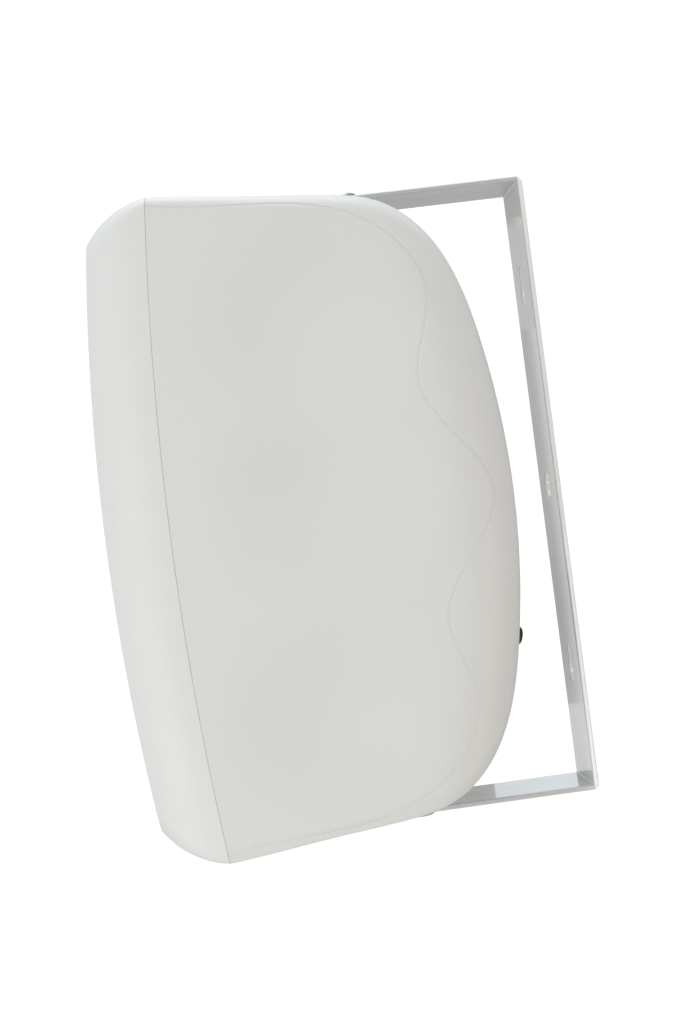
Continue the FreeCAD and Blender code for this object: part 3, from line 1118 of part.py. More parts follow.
def damping_pad(side):
    """Felt pad on one inner side wall."""
    front = SEAM_Y + PAD_FRONT_FROM_SEAM
    span = sorted((side * PAD_FACE_X, side * SEAM_WIDTH / 2))
    pad = block(span[0], span[1], front, front + PAD_LENGTH, -PAD_HEIGHT / 2, PAD_HEIGHT / 2)
    return pad.common(cabinet_form(SHELL_WALL + PAD_CLEARANCE))


WOOFER_TAG_Y = BAFFLE_Y + WOOFER_LEDGE_DEPTH + WOOFER_FRAME_SHEET
WOOFER_TAG_Z = WOOFER_Z + WOOFER_LEDGE_RADIUS
TAG_HALF_WIDTH = 9.0
TAG_HALF_HEIGHT = 7.0


def woofer_tag_board():
    """Fibre board with the woofer's connections, riveted behind the frame's ledge."""
    return block(-TAG_HALF_WIDTH, TAG_HALF_WIDTH, WOOFER_TAG_Y, WOOFER_TAG_Y + TAG_BOARD_THICKNESS,
                 WOOFER_TAG_Z - TAG_HALF_HEIGHT, WOOFER_TAG_Z + TAG_HALF_HEIGHT)


def tweeter_tag_board():
    """Fibre board with the tweeter's connections, behind its back plate."""
    z = TWEETER_Z - TWEETER_TOP_PLATE_RADIUS / 2
    return block(-TAG_HALF_WIDTH, TAG_HALF_WIDTH, TWEETER_REAR_Y, TWEETER_REAR_Y + TAG_BOARD_THICKNESS,
                 z - TAG_HALF_HEIGHT, z + TAG_HALF_HEIGHT)


def lead(points):
    """Round lead along straight runs joined by tangent arcs as large as the runs allow."""
    edges = []
    start = points[0]
    for before, corner, after in zip(points, points[1:], points[2:]):
        back = (before - corner).normalize()
        ahead = (after - corner).normalize()
        turn = math.pi - back.getAngle(ahead)
        reach = 0.45 * min((before - corner).Length, (after - corner).Length)
        radius = reach / math.tan(turn / 2)
        enter = corner + back * reach
        leave = corner + ahead * reach
        bisector = (back + ahead).normalize()
        middle = corner + bisector * (radius / math.cos(turn / 2) - radius)
        edges.append(Part.makeLine(start, enter))
        edges.append(Part.Arc(enter, middle, leave).toShape())
        start = leave
    edges.append(Part.makeLine(start, points[-1]))
    path = Part.Wire(edges)
    section = Part.Wire(Part.makeCircle(LEAD_DIAMETER / 2, points[0], points[1] - points[0]))
    return path.makePipeShell([section], True, False)


def hanging_lead(x, z, tag_y, tag_z):
    """Lead from the board's front to a driver's tag board, sagging a little between them."""
    middle = Vector(x, (BOARD_FRONT_Y + tag_y) / 2, (z + tag_z) / 2 - LEAD_DIAMETER)
    return lead([Vector(x, BOARD_FRONT_Y, z), Vector(x, BOARD_FRONT_Y - LEAD_TAIL, z), middle,
                 Vector(x, tag_y + LEAD_TAIL, tag_z), Vector(x, tag_y, tag_z)])


def input_leads():
    """Twin lead from the binding posts to the board."""
    leads = []
    for side in SIDES:
        x = side * POST_SPACING / 2
        z = BOARD_Z - BOARD_HEIGHT / 2 + BOARD_MARGIN
        loop_y = BOARD_FRONT_Y - LEAD_SLACK
        third = (z - CUP_Z) / 3
        leads.append(lead([cup_point(x, STUD_END, 0), cup_point(x, STUD_END - LEAD_TAIL, 0),
                           Vector(x, loop_y, CUP_Z + third), Vector(x, loop_y, z - third),
                           Vector(x, BOARD_FRONT_Y - LEAD_TAIL, z), Vector(x, BOARD_FRONT_Y, z)]))
    return Part.makeCompound(leads)


def woofer_leads():
    """Twin lead from the board to the woofer's tag board."""
    leads = []
    tag = WOOFER_TAG_Y + TAG_BOARD_THICKNESS
    for side in SIDES:
        x = side * LEAD_DIAMETER * 1.5
        z = BOARD_Z - BOARD_HEIGHT / 4
        tag_z = WOOFER_TAG_Z + TAG_HALF_HEIGHT - LEAD_DIAMETER
        leads.append(hanging_lead(x, z, tag, tag_z))
    return Part.makeCompound(leads)


def tweeter_leads():
    """Twin lead from the board to the tweeter's tag board."""
    leads = []
    tag = TWEETER_REAR_Y + TAG_BOARD_THICKNESS
    for side in SIDES:
        x = side * LEAD_DIAMETER * 1.5
        z = BOARD_Z - BOARD_MARGIN
        tag_z = TWEETER_Z - TWEETER_TOP_PLATE_RADIUS / 2
        leads.append(hanging_lead(x, z, tag, tag_z))
    return Part.makeCompound(leads)


pole_radius = COIL_RADIUS - COIL_GAP
tweeter_pole_radius = DOME_RADIUS - 2 * DOME_SHEET - COIL_GAP / 2
nodes = {
    "bracket": bracket(),
    "cabinet": cabinet(),
    "front_bezel": bezel(),
    "seam_gasket": seam_gasket(),
    "grille": grille(),
    "bezel_screws": bezel_screws(),
    "woofer_frame": woofer_frame(),
    "woofer_trim_ring": woofer_ring(),
    "woofer_screws": driver_screws(WOOFER_SCREWS),
    "woofer_surround": woofer_surround(),
    "woofer_cone": woofer_cone(),
    "woofer_dust_cap": woofer_dust_cap(),
    "woofer_voice_coil": woofer_voice_coil(),
    "woofer_spider": woofer_spider(),
    "woofer_top_plate": motor_plate(TOP_PLATE_RADIUS, FORMER_OUTER + COIL_WINDING + COIL_GAP,
                                    WOOFER_PLATE_DEPTH, TOP_PLATE_THICKNESS, WOOFER_Z),
    "woofer_magnet": ring(MAGNET_RADIUS, MAGNET_BORE_RADIUS, WOOFER_MAGNET_DEPTH, MAGNET_THICKNESS,
                          BAFFLE_Y, WOOFER_Z),
    "woofer_yoke": motor_yoke(TOP_PLATE_RADIUS, pole_radius, WOOFER_PLATE_DEPTH, WOOFER_BACK_DEPTH,
                              BACK_PLATE_THICKNESS, WOOFER_Z),
    "woofer_tag_board": woofer_tag_board(),
    "tweeter_faceplate": tweeter_plate(),
    "tweeter_screws": driver_screws(TWEETER_SCREWS),
    "tweeter_surround": tweeter_surround(),
    "tweeter_dome": tweeter_dome(),
    "tweeter_voice_coil": tweeter_voice_coil(),
    "tweeter_top_plate": motor_plate(TWEETER_TOP_PLATE_RADIUS, DOME_RADIUS + COIL_GAP,
                                     TWEETER_PLATE_THICKNESS, TWEETER_TOP_PLATE_THICKNESS, TWEETER_Z),
    "tweeter_magnet": ring(TWEETER_MAGNET_RADIUS, TWEETER_MAGNET_BORE_RADIUS, TWEETER_MAGNET_DEPTH,
                           TWEETER_MAGNET_THICKNESS, BAFFLE_Y, TWEETER_Z),
    "tweeter_yoke": motor_yoke(TWEETER_TOP_PLATE_RADIUS, tweeter_pole_radius,
                               TWEETER_PLATE_THICKNESS + COIL_GAP, TWEETER_BACK_DEPTH,
                               TWEETER_BACK_PLATE_THICKNESS, TWEETER_Z),
    "tweeter_tag_board": tweeter_tag_board(),
    "crossover_board": crossover_board(),
    "board_screws": board_screws(),
    "bass_choke": choke(LARGE_CHOKE_RADIUS, LARGE_CHOKE_HEIGHT, LARGE_CHOKE_X, LARGE_CHOKE_Z),
    "treble_choke": choke(SMALL_CHOKE_RADIUS, SMALL_CHOKE_HEIGHT, SMALL_CHOKE_X, SMALL_CHOKE_Z),
    "capacitors": capacitors(),
    "resistor": resistor(),
    "terminal_cup": terminal_cup(),
    "cup_screws": cup_screws(),
    "post_studs": post_studs(),
    "post_collars": post_collars(),
    "post_lock_nuts": lock_nuts(),
    "red_thumb_nut": thumb_nut(-1),
    "black_thumb_nut": thumb_nut(1),
    "pivot_bolts": pivot_bolts(),
    "steel_washers": steel_washers(),
    "rubber_washers": rubber_washers(),
    "threaded_inserts": threaded_inserts(),
    "damping_pad_left": damping_pad(-1),
    "damping_pad_right": damping_pad(1),
    "input_leads": input_leads(),
    "woofer_leads": woofer_leads(),
    "tweeter_leads": tweeter_leads(),
}

os.makedirs("parts", exist_ok=True)
for name, shape in nodes.items():
    shape.exportStep(os.path.join("parts", name + ".step"))
    print(name, len(shape.Solids), shape.isValid(), round(shape.Volume))
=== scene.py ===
import math

import bpy
import numpy as np
from mathutils import Matrix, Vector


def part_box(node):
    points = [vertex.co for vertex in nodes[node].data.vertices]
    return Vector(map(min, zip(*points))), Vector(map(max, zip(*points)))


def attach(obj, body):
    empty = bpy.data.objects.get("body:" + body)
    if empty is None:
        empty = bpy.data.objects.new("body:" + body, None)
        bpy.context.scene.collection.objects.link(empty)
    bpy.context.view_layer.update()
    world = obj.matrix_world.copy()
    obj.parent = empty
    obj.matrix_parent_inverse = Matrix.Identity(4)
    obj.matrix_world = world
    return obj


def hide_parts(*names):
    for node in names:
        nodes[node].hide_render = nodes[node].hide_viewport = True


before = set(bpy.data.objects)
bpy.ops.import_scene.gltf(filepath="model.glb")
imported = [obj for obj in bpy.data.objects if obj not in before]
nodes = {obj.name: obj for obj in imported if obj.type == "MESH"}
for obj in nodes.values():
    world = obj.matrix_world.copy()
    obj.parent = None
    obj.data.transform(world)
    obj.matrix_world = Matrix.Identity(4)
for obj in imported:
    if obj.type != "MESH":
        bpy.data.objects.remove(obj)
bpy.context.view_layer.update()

scene = bpy.context.scene


# Cabinet shell and front bezel
# Two mouldings of white polystyrene with a satin, finely eroded skin. They meet along the bowed seam
# and are held together by screws behind the grille. The side walls show faint sink marks.
def finish(name, colour, roughness, metallic=0.0, **sockets):
    """Material with one Principled shader; further sockets are set on it by name."""
    material = bpy.data.materials.new(name)
    material.use_nodes = True
    shader = material.node_tree.nodes["Principled BSDF"]
    shader.inputs["Base Color"].default_value = (*colour, 1.0)
    shader.inputs["Roughness"].default_value = roughness
    shader.inputs["Metallic"].default_value = metallic
    for socket, value in sockets.items():
        shader.inputs[socket.replace("_", " ")].default_value = value
    return material


def placed(material, kind, place=(0.0, 0.0, 0.0), stretch=(1.0, 1.0, 1.0), **values):
    """Texture node over Object coordinates, measured from a place and stretched along the axes."""
    tree = material.node_tree
    coordinates = tree.nodes.new("ShaderNodeTexCoord")
    mapping = tree.nodes.new("ShaderNodeMapping")
    mapping.vector_type = "TEXTURE"
    mapping.inputs["Location"].default_value = place
    mapping.inputs["Scale"].default_value = [1.0 / factor for factor in stretch]
    texture = tree.nodes.new(kind)
    for socket, value in values.items():
        texture.inputs[socket.replace("_", " ")].default_value = value
    tree.links.new(coordinates.outputs["Object"], mapping.inputs["Vector"])
    tree.links.new(mapping.outputs["Vector"], texture.inputs["Vector"])
    return texture


def ramp(material, source, low, high, low_at=0.3, high_at=0.7):
    """Colour that runs from low to high as a socket's value rises; returns the ramp's node."""
    node = material.node_tree.nodes.new("ShaderNodeValToRGB")
    for element, place, colour in zip(node.color_ramp.elements, (low_at, high_at), (low, high)):
        element.position = place
        element.color = (*colour, 1.0)
    material.node_tree.links.new(source, node.inputs["Fac"])
    return node


def tinted(material, source, low, high, low_at=0.3, high_at=0.7):
    """Base colour from a texture's value."""
    tones = ramp(material, source, low, high, low_at, high_at)
    shader = material.node_tree.nodes["Principled BSDF"]
    material.node_tree.links.new(tones.outputs["Color"], shader.inputs["Base Color"])


def mottled(material, low, high, scale, detail=3.0, stretch=(1.0, 1.0, 1.0)):
    """Base colour that drifts between two tones."""
    noise = placed(material, "ShaderNodeTexNoise", stretch=stretch, Scale=scale, Detail=detail)
    tinted(material, noise.outputs["Fac"], low, high)


def patchy_gloss(material, low, high, scale):
    """Roughness that drifts between two values."""
    noise = placed(material, "ShaderNodeTexNoise", Scale=scale, Detail=2.0)
    tones = ramp(material, noise.outputs["Fac"], (low,) * 3, (high,) * 3)
    shader = material.node_tree.nodes["Principled BSDF"]
    material.node_tree.links.new(tones.outputs["Color"], shader.inputs["Roughness"])


def raised(material, source, distance):
    """Relief from a texture's value, as deep as distance in metres; each call lies on the one before."""
    tree = material.node_tree
    bump = tree.nodes.new("ShaderNodeBump")
    bump.inputs["Distance"].default_value = distance
    bump.inputs["Strength"].default_value = 1.0
    tree.links.new(source, bump.inputs["Height"])
    normal = tree.nodes["Principled BSDF"].inputs["Normal"]
    if normal.is_linked:
        tree.links.new(normal.links[0].from_socket, bump.inputs["Normal"])
    tree.links.new(bump.outputs["Normal"], normal)


def grained(material, scale, distance, detail=2.0, stretch=(1.0, 1.0, 1.0)):
    """Fine relief from noise."""
    noise = placed(material, "ShaderNodeTexNoise", stretch=stretch, Scale=scale, Detail=detail)
    raised(material, noise.outputs["Fac"], distance)


def dress(material, *names):
    """Give CAD nodes this material."""
    for name in names:
        for slot in nodes[name].material_slots:
            slot.material = material


white_moulding = finish("satin_white_moulding", (0.78, 0.778, 0.764), roughness=0.42,
                        Specular_IOR_Level=0.45)
mottled(white_moulding, (0.772, 0.77, 0.755), (0.79, 0.788, 0.774), scale=7.0)
patchy_gloss(white_moulding, low=0.39, high=0.46, scale=35.0)
grained(white_moulding, scale=9.0, distance=0.004, detail=0.0, stretch=(1.0, 0.8, 1.3))
sink_places = ((0.0, -0.12, 0.084), (0.0, -0.119, 0.009), (0.0, -0.127, -0.096))
sink_stretch = (0.5, 16.5, 18.0)
for sink_place in sink_places:
    sink = placed(white_moulding, "ShaderNodeTexGradient", sink_place, sink_stretch)
    sink.gradient_type = "SPHERICAL"
    hollow = white_moulding.node_tree.nodes.new("ShaderNodeMapRange")
    hollow.interpolation_type = "SMOOTHSTEP"
    hollow.inputs["To Min"].default_value = 1.0
    hollow.inputs["To Max"].default_value = 0.0
    white_moulding.node_tree.links.new(sink.outputs["Fac"], hollow.inputs["Value"])
    raised(white_moulding, hollow.outputs["Result"], distance=0.004)
grained(white_moulding, scale=2600.0, distance=0.00002, detail=1.0)
dress(white_moulding, "cabinet", "front_bezel")
black_zinc = finish("blackened_zinc", (0.09, 0.09, 0.095), roughness=0.38, metallic=0.9)
mottled(black_zinc, (0.06, 0.06, 0.065), (0.13, 0.13, 0.135), scale=300.0)
grained(black_zinc, scale=900.0, distance=0.00003)
dress(black_zinc, "bezel_screws")


# Seam gasket
# Pale foam cord laid in the groove between the two mouldings and squeezed by their screws. Only its edge
# shows, as a thin grey line.
foam = finish("pale_foam", (0.5, 0.5, 0.48), roughness=0.9)
mottled(foam, (0.42, 0.42, 0.4), (0.58, 0.58, 0.56), scale=900.0)
grained(foam, scale=1500.0, distance=0.0001)
dress(foam, "seam_gasket")


# Damping pads
# Grey needle-punched felt, cut from sheet and glued to the inner side walls, one pad on the left and one
# on the right.
felt = finish("grey_felt", (0.32, 0.32, 0.31), roughness=0.95, Sheen_Weight=0.4, Sheen_Roughness=0.5)
mottled(felt, (0.2, 0.2, 0.195), (0.46, 0.455, 0.44), scale=420.0, detail=6.0)
grained(felt, scale=700.0, distance=0.0009, detail=8.0, stretch=(1.0, 1.0, 0.35))
grained(felt, scale=60.0, distance=0.0012, detail=2.0)
dress(felt, "damping_pad_left", "damping_pad_right")


# Crossover
# Glass-fibre board on four standoffs with two wound chokes, two film capacitors and a cement resistor.
# It is screwed to the inside of the back.
def banded_with_shade(material, axis, period, low, high, distance):
    """Stripes square to an axis, as a wound wire or a wrapped film shows.

    Tone and relief repeat each period; the tone paints shade into each band's low part and light onto its
    crest.
    The wave texture itself repeats each pi / 10."""
    wave = placed(material, "ShaderNodeTexWave", Scale=math.pi / 10 / period, Distortion=0.4, Detail=1.0)
    wave.wave_type = "BANDS"
    wave.bands_direction = axis
    tinted(material, wave.outputs["Fac"], low, high, low_at=0.1, high_at=0.9)
    raised(material, wave.outputs["Fac"], distance=distance)


solder_mask = finish("green_solder_mask", (0.02, 0.1, 0.035), roughness=0.35)
tracks = placed(solder_mask, "ShaderNodeTexBrick", Scale=60.0, Mortar_Size=0.03)
tinted(solder_mask, tracks.outputs["Fac"], (0.02, 0.1, 0.035), (0.05, 0.19, 0.07), low_at=0.2, high_at=0.8)
raised(solder_mask, tracks.outputs["Fac"], distance=0.00006)
grained(solder_mask, scale=900.0, distance=0.00002)
dress(solder_mask, "crossover_board")
enamelled_wire = finish("enamelled_copper_wire", (0.5, 0.2, 0.08), roughness=0.28, metallic=0.9)
# Painted shade between the wire's turns and painted light on their crowns.
banded_with_shade(enamelled_wire, "Y", period=0.0009, low=(0.22, 0.07, 0.025), high=(0.62, 0.27, 0.12),
       distance=0.0004)
dress(enamelled_wire, "bass_choke", "treble_choke")
film_wrap = finish("yellow_film_wrap", (0.6, 0.42, 0.06), roughness=0.25, Coat_Weight=0.3)
# Painted shade in the film's low bands and painted light on its raised bands.
banded_with_shade(film_wrap, "X", period=0.0021, low=(0.52, 0.36, 0.045), high=(0.64, 0.46, 0.075), distance=0.00005)
dress(film_wrap, "capacitors")
cement = finish("white_cement", (0.72, 0.7, 0.64), roughness=0.85)
mottled(cement, (0.6, 0.58, 0.52), (0.78, 0.76, 0.7), scale=300.0, detail=6.0)
grained(cement, scale=900.0, distance=0.0003, detail=6.0)
dress(cement, "resistor")
zinc = finish("zinc_plating", (0.58, 0.58, 0.59), roughness=0.34, metallic=1.0)
mottled(zinc, (0.5, 0.5, 0.51), (0.64, 0.64, 0.64), scale=260.0)
patchy_gloss(zinc, low=0.28, high=0.42, scale=180.0)
grained(zinc, scale=700.0, distance=0.00003)
dress(zinc, "board_screws")


# Inner leads
# Stranded copper in soft insulation: black from the posts, red to the woofer and blue to the tweeter.
# Each is soldered to the crossover at one end and to its tags or posts at the other.
def insulation(name, dark, light):
    """Soft vinyl insulation, slightly cloudy and dimpled."""
    material = finish(name, dark, roughness=0.5)
    mottled(material, dark, light, scale=160.0)
    grained(material, scale=500.0, distance=0.00008)
    return material


dress(insulation("black_insulation", (0.015, 0.015, 0.016), (0.03, 0.03, 0.03)), "input_leads")
dress(insulation("red_insulation", (0.3, 0.012, 0.012), (0.38, 0.025, 0.022)), "woofer_leads")
dress(insulation("blue_insulation", (0.012, 0.04, 0.26), (0.02, 0.06, 0.33)), "tweeter_leads")


# Woofer
# Black-painted pressed frame with a coated paper cone on a rubber half-roll, a ferrite ring magnet between
# plated plates, and a copper coil on a cloth spider. Four screws hold it to the baffle.
def ribbed(material, place, period, distance):
    """Rings round a driver's axis, as pressed into its cone or cloth; they repeat each period."""
    wave = placed(material, "ShaderNodeTexWave", place, Scale=math.pi / 10 / period)
    wave.wave_type = "RINGS"
    wave.rings_direction = "Y"
    raised(material, wave.outputs["Fac"], distance=distance)


woofer_low, woofer_high = (np.array(corner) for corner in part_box("woofer_frame"))
woofer_axis = tuple((woofer_low + woofer_high) / 2)
black_paint = finish("black_frame_paint", (0.02, 0.02, 0.021), roughness=0.4)
mottled(black_paint, (0.014, 0.014, 0.015), (0.03, 0.03, 0.031), scale=90.0)
grained(black_paint, scale=800.0, distance=0.00005)
dress(black_paint, "woofer_frame")
rubber = finish("black_rubber", (0.03, 0.03, 0.03), roughness=0.62)
mottled(rubber, (0.018, 0.018, 0.018), (0.042, 0.042, 0.041), scale=120.0)
grained(rubber, scale=1400.0, distance=0.00004)
dress(rubber, "woofer_trim_ring", "woofer_surround")
coated_paper = finish("coated_cone_paper", (0.035, 0.035, 0.037), roughness=0.6, Coat_Weight=0.15,
                      Coat_Roughness=0.4)
mottled(coated_paper, (0.022, 0.022, 0.024), (0.055, 0.055, 0.056), scale=260.0, detail=8.0)
ribbed(coated_paper, woofer_axis, period=0.0055, distance=0.0005)
grained(coated_paper, scale=650.0, distance=0.00025, detail=8.0)
dress(coated_paper, "woofer_cone", "woofer_dust_cap")
copper_coil = finish("copper_coil", (0.6, 0.26, 0.11), roughness=0.3, metallic=1.0)
# Painted shade between the coil's turns and painted light on their crowns.
banded_with_shade(copper_coil, "Y", period=0.00045, low=(0.3, 0.1, 0.04), high=(0.7, 0.32, 0.15), distance=0.0002)
dress(copper_coil, "woofer_voice_coil")
spider_cloth = finish("resin_cloth", (0.5, 0.33, 0.12), roughness=0.8)
weave = placed(spider_cloth, "ShaderNodeTexBrick", Scale=700.0, Mortar_Size=0.06)
tinted(spider_cloth, weave.outputs["Fac"], (0.56, 0.38, 0.15), (0.3, 0.18, 0.06))
raised(spider_cloth, weave.outputs["Fac"], distance=0.0002)
dress(spider_cloth, "woofer_spider")
dress(zinc, "woofer_top_plate", "woofer_yoke")
ferrite = finish("ferrite", (0.045, 0.045, 0.048), roughness=0.6)
mottled(ferrite, (0.03, 0.03, 0.033), (0.07, 0.07, 0.073), scale=500.0, detail=6.0)
grained(ferrite, scale=350.0, distance=0.0002, detail=6.0)
dress(ferrite, "woofer_magnet")
phenolic = finish("brown_phenolic", (0.16, 0.07, 0.025), roughness=0.55)
mottled(phenolic, (0.12, 0.05, 0.017), (0.21, 0.1, 0.04), scale=500.0, detail=4.0, stretch=(0.2, 1.0, 1.0))
grained(phenolic, scale=900.0, distance=0.00006)
dress(phenolic, "woofer_tag_board")
dress(black_zinc, "woofer_screws")


# Tweeter
# Moulded black faceplate with a flared mouth round a coated cloth dome. Its motor is glued behind, and
# screws hold the faceplate to the baffle.
tweeter_low, tweeter_high = (np.array(corner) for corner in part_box("tweeter_faceplate"))
tweeter_axis = tuple((tweeter_low + tweeter_high) / 2)
black_moulding = finish("textured_black_moulding", (0.022, 0.022, 0.023), roughness=0.5)
mottled(black_moulding, (0.016, 0.016, 0.017), (0.03, 0.03, 0.031), scale=60.0)
patchy_gloss(black_moulding, low=0.44, high=0.58, scale=50.0)
grained(black_moulding, scale=1500.0, distance=0.00008, detail=3.0)
dress(black_moulding, "tweeter_faceplate")
dome_cloth = finish("coated_dome_cloth", (0.03, 0.03, 0.032), roughness=0.45, Sheen_Weight=0.2)
threads = placed(dome_cloth, "ShaderNodeTexBrick", Scale=1500.0, Mortar_Size=0.05)
tinted(dome_cloth, threads.outputs["Fac"], (0.04, 0.04, 0.042), (0.015, 0.015, 0.016))
raised(dome_cloth, threads.outputs["Fac"], distance=0.00005)
ribbed(dome_cloth, tweeter_axis, period=0.0035, distance=0.00004)
dress(dome_cloth, "tweeter_dome", "tweeter_surround")
dress(copper_coil, "tweeter_voice_coil")
dress(zinc, "tweeter_top_plate", "tweeter_yoke")
dress(ferrite, "tweeter_magnet")
dress(phenolic, "tweeter_tag_board")
dress(black_zinc, "tweeter_screws")


# Grille
# Thin steel sheet punched with staggered six-sided holes, bowed to the front and folded back round its
# edge. It is painted white and pushed into the bezel's seat.
def rounded_loop(points, half_width, half_height, radius):
    """Points on a rectangle's outline moved onto its round corners.

    A point beyond both straight runs keeps its direction from the corner's centre and lies at the radius
    from it."""
    reach = np.array((half_width - radius, half_height - radius))
    core = np.clip(points, -reach, reach)
    away = points - core
    length = np.linalg.norm(away, axis=1, keepdims=True)
    return core + away / length * np.minimum(length, radius)


def perforated_skin(half_width, half_height, radius, columns, rows, pitch, hole, bow, front, fold):
    """Front skin of the grille as (vertices, faces).

    Rows of rectangular cells, every other row shifted by half a cell; a cell is a ring of six quads between
    its outline and a six-sided hole. A border joins the rows to the rounded outline, which is then rounded
    over and carried back by the fold. Depth follows an upright arc: y = front + bow - sqrt(bow^2 - z^2)."""
    width = 2 * columns + 1
    across = (np.arange(width) - columns) * pitch / 2
    along = (np.arange(rows + 1) - rows / 2) * pitch * math.sqrt(3) / 2
    lattice = np.stack(np.meshgrid(across, along), axis=-1).reshape(-1, 2)
    corners = np.meshgrid(np.arange(rows), np.arange(width - 2), indexing="ij")
    grid = np.stack(corners, axis=-1).reshape(-1, 2)
    row, left = grid[grid.sum(axis=1) % 2 == 0].T
    start = row * width + left
    above = start + width
    cells = np.stack([start, start + 1, start + 2, above + 2, above + 1, above], axis=1)
    corner_turns = np.radians((210, 270, 330, 30, 90, 150))
    spokes = hole * np.column_stack([np.cos(corner_turns), np.sin(corner_turns)])
    centre = np.column_stack([across[left + 1], (along[row] + along[row + 1]) / 2])
    rims = (centre[:, None] + spokes).reshape(-1, 2)
    inner = len(lattice) + np.arange(len(rims)).reshape(-1, 6)
    rings = np.stack([cells, np.roll(cells, -1, 1), np.roll(inner, -1, 1), inner], axis=-1).reshape(-1, 4)
    odd = np.arange(1, rows, 2) * width
    ends = np.concatenate([odd, odd + width - 2])
    halves = np.stack([ends, ends + 1, ends + width + 1, ends + width], axis=1)
    loop = np.concatenate([np.arange(width), np.arange(1, rows + 1) * width + width - 1,
                           rows * width + np.arange(width - 2, -1, -1), np.arange(rows - 1, 0, -1) * width])
    half = np.array((half_width, half_height))
    outline = lattice[loop] * half / np.abs(lattice).max(axis=0)
    points, faces = [lattice, rims], [rings, halves]
    depths = [np.zeros(len(lattice) + len(rims))]
    before, count = loop, len(lattice) + len(rims)
    border_steps = ((0.0012, 0.0), (0.0004, 0.0002), (0.0001, 0.0006), (0.0, 0.0014), (0.0, fold))
    for inset, depth in border_steps:
        points.append(rounded_loop(outline * (1 - inset / half), *(half - inset), radius - inset))
        depths.append(np.full(len(loop), depth))
        now = count + np.arange(len(loop))
        faces.append(np.stack([before, now, np.roll(now, -1), np.roll(before, -1)], axis=1))
        before, count = now, count + len(loop)
    flat = np.concatenate(points)
    y = front + bow - np.sqrt(bow ** 2 - flat[:, 1] ** 2) + np.concatenate(depths)
    return np.column_stack([flat[:, 0], y, flat[:, 1]]), np.concatenate(faces)


grille_low, grille_high = (np.array(corner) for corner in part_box("grille"))
grille_half = (grille_high - grille_low) / 2
grille_vertices, grille_faces = perforated_skin(
    half_width=grille_half[0], half_height=grille_half[2], radius=0.008, columns=37, rows=72, pitch=0.004,
    hole=0.00165, bow=1.073, front=grille_low[1], fold=0.005)
grille_mesh = bpy.data.meshes.new("fine_grille")
grille_mesh.from_pydata(grille_vertices.tolist(), [], grille_faces.tolist())
grille = bpy.data.objects.new("fine_grille", grille_mesh)
scene.collection.objects.link(grille)
sheet = grille.modifiers.new("sheet", "SOLIDIFY")
sheet.thickness = 0.0008
sheet.offset = -1.0
grille_paint = finish("satin_white_grille_paint", (0.78, 0.78, 0.77), roughness=0.38)
mottled(grille_paint, (0.765, 0.765, 0.755), (0.79, 0.79, 0.78), scale=12.0)
grained(grille_paint, scale=900.0, distance=0.00002)
grille_mesh.materials.append(grille_paint)
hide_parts("grille")
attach(grille, "cabinet")


# Terminal cup
# Black moulded dish sunk in the back and held by screws. Two brass binding posts stand in it under fluted
# caps, one red and one black.
def cap_plastic(name, dark, light):
    """Glossy coloured plastic with faint flow marks."""
    material = finish(name, dark, roughness=0.22, Coat_Weight=0.3, Coat_Roughness=0.1)
    mottled(material, dark, light, scale=140.0, detail=2.0)
    grained(material, scale=300.0, distance=0.00004)
    return material


dress(cap_plastic("red_cap", (0.36, 0.01, 0.01), (0.44, 0.018, 0.016)), "red_thumb_nut")
dress(cap_plastic("black_cap", (0.012, 0.012, 0.012), (0.024, 0.024, 0.024)), "black_thumb_nut")
brass = finish("turned_brass", (0.72, 0.52, 0.24), roughness=0.3, metallic=1.0)
mottled(brass, (0.62, 0.44, 0.2), (0.78, 0.58, 0.29), scale=200.0)
grained(brass, scale=900.0, distance=0.00003)
dress(brass, "post_studs", "post_lock_nuts")
dress(black_moulding, "terminal_cup", "post_collars")
dress(zinc, "cup_screws")


# Pivot hardware
# Low round-headed bolts and washers, zinc plated, clamp the bracket's arms on rubber washers; they thread
# into brass inserts in the cabinet's bosses.
dress(zinc, "pivot_bolts", "steel_washers")
dress(rubber, "rubber_washers")
dress(brass, "threaded_inserts")


# Wall bracket
# Steel strip punched, bent into a U and powder coated in a cool, glossy white; the coat lies in slow waves.
# Its faces are a grey that paints in their shade, and the cut edges and punched holes are painted near
# white as a highlight.
powder_coat = finish("glossy_white_powder_coat", (0.575, 0.577, 0.58), roughness=0.35, Coat_Weight=1.0,
                     Coat_Roughness=0.05, Coat_IOR=1.5)
strip_middle = (0.0, -0.00125, 0.0)
edge_highlight_stretch = (20.0, 800.0, 0.5)
# Painted highlight: near white on the strip's cut edges and hole walls; grey on its faces as painted shade.
edge_highlight_mask = placed(powder_coat, "ShaderNodeTexGradient", strip_middle, edge_highlight_stretch)
edge_highlight_mask.gradient_type = "SPHERICAL"
tinted(powder_coat, edge_highlight_mask.outputs["Fac"], (0.575, 0.577, 0.58), (0.95, 0.95, 0.945),
       low_at=0.02, high_at=0.2)
grained(powder_coat, scale=40.0, distance=0.0012, detail=1.0, stretch=(1.0, 1.0, 0.5))
grained(powder_coat, scale=120.0, distance=0.00002, detail=1.0)
dress(powder_coat, "bracket")


# Floor and light
# A pale floor far below the bracket, an even white room and soft lamps in front, below, behind and
# overhead. Four faint lamps on the far side show in the bracket's gloss only.
floor_radius = 0.62
floor_middle_y = -0.11
floor_height = -0.75
floor_sides = 96
floor_mesh = bpy.data.meshes.new("floor")
turn = np.linspace(0.0, 2 * np.pi, floor_sides, endpoint=False)
floor_rim = np.column_stack([floor_radius * np.cos(turn), floor_middle_y + floor_radius * np.sin(turn),
                             np.full(floor_sides, floor_height)])
floor_mesh.from_pydata(floor_rim.tolist(), [], [list(range(floor_sides))])
floor = bpy.data.objects.new("floor", floor_mesh)
scene.collection.objects.link(floor)
pale_floor = finish("pale_floor", (0.8, 0.8, 0.79), roughness=0.8)
mottled(pale_floor, (0.77, 0.77, 0.76), (0.82, 0.82, 0.81), scale=3.0)
floor_mesh.materials.append(pale_floor)

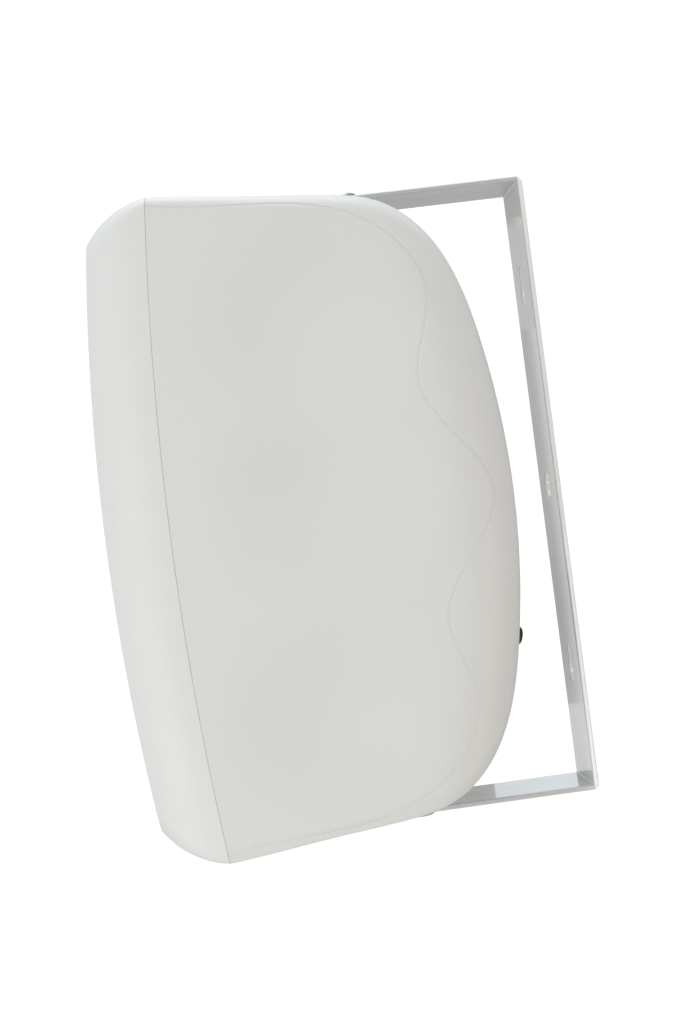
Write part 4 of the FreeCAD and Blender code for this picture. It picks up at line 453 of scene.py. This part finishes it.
world = bpy.data.worlds.new("white_room")
scene.world = world
world.use_nodes = True
room = world.node_tree
backdrop = room.nodes["Background"]
backdrop.inputs["Color"].default_value = (1.0, 0.99, 0.975, 1.0)
rays = room.nodes.new("ShaderNodeLightPath")
level = room.nodes.new("ShaderNodeMapRange")
level.inputs["To Min"].default_value = 0.5
level.inputs["To Max"].default_value = 1.08
room.links.new(rays.outputs["Is Camera Ray"], level.inputs["Value"])
room.links.new(level.outputs["Result"], backdrop.inputs["Strength"])


def soft_lamp(name, place, aim, width, height, power, colour):
    """Rectangular area lamp that looks at a point."""
    light = bpy.data.lights.new(name, "AREA")
    light.shape = "RECTANGLE"
    light.size = width
    light.size_y = height
    light.energy = power
    light.color = colour
    lamp = bpy.data.objects.new(name, light)
    back = np.subtract(place, aim) / np.linalg.norm(np.subtract(place, aim))
    right = np.cross((0.0, 0.0, 1.0), back)
    right /= np.linalg.norm(right)
    turned = Matrix(np.column_stack([right, np.cross(back, right), back]).tolist()).to_4x4()
    lamp.matrix_world = Matrix.Translation(place) @ turned
    scene.collection.objects.link(lamp)


soft_lamp("key_lamp", place=(0.75, -1.05, -0.4), aim=(0.0, -0.1, 0.0),
          width=0.7, height=1.2, power=5.6, colour=(0.88, 0.95, 1.0))
soft_lamp("low_lamp", place=(1.25, -0.35, -0.5), aim=(0.0, -0.1, 0.0),
          width=0.6, height=0.6, power=1.6, colour=(1.0, 0.86, 0.62))
soft_lamp("high_lamp", place=(0.9, -0.1, 1.25), aim=(0.0, -0.1, 0.1),
          width=0.6, height=0.6, power=1.7, colour=(0.88, 0.95, 1.0))
soft_lamp("back_lamp", place=(0.55, 1.6, -0.5), aim=(0.0, -0.1, 0.0),
          width=0.4, height=1.3, power=4.4, colour=(1.0, 0.95, 0.87))
soft_lamp("strip_lamp", place=(1.4, 0.26, -0.5), aim=(0.0, 0.0, 0.0),
          width=0.03, height=0.9, power=0.3, colour=(1.0, 0.97, 0.92))
soft_lamp("overhead_lamp", place=(0.1, -0.2, 1.9), aim=(0.0, -0.1, 0.0),
          width=1.4, height=1.4, power=23.0, colour=(0.85, 0.94, 1.0))
soft_lamp("far_arm_lamp", place=(-1.3, 0.265, 0.17), aim=(0.0, 0.265, 0.17),
          width=0.29, height=0.3, power=0.2, colour=(0.82, 0.93, 1.0))
soft_lamp("far_high_lamp", place=(-1.3, -0.25, 0.255), aim=(0.0, -0.25, 0.255),
          width=0.5, height=0.13, power=0.048, colour=(0.92, 0.97, 1.0))
soft_lamp("far_edge_lamp", place=(-1.3, -0.398, 0.0), aim=(0.0, -0.398, 0.0),
          width=0.31, height=0.66, power=0.34, colour=(0.92, 0.97, 1.0))
soft_lamp("far_low_lamp", place=(-1.3, -0.25, -0.48), aim=(0.0, -0.25, -0.48),
          width=0.5, height=0.4, power=0.29, colour=(0.92, 0.97, 1.0))
for name in ("far_arm_lamp", "far_high_lamp", "far_edge_lamp", "far_low_lamp"):
    bpy.data.objects[name].visible_camera = False


# Camera
# Level with the middle of the cabinet, on its right-hand side and rolled with the picture. It stands
# 0.89 m off the middle and looks nearly square at that side.
focal_pixels = 1772.5
picture_height = 1024
sensor_size = 36.0
camera_data = bpy.data.cameras.new("camera")
camera_data.lens = focal_pixels / picture_height * sensor_size
camera_data.sensor_width = sensor_size
camera = bpy.data.objects.new("camera", camera_data)
right_way = np.array((0.0630, 0.9898, -0.1275))
up_way = np.array((0.0038, 0.1275, 0.9918))
back_way = np.cross(right_way, up_way)
camera_place = (0.8876, -0.16405, 0.00305)
camera_turn = Matrix(np.column_stack([right_way, up_way, back_way]).tolist()).to_4x4()
camera.matrix_world = Matrix.Translation(camera_place) @ camera_turn
scene.collection.objects.link(camera)
scene.camera = camera
scene.view_settings.view_transform = "Standard"
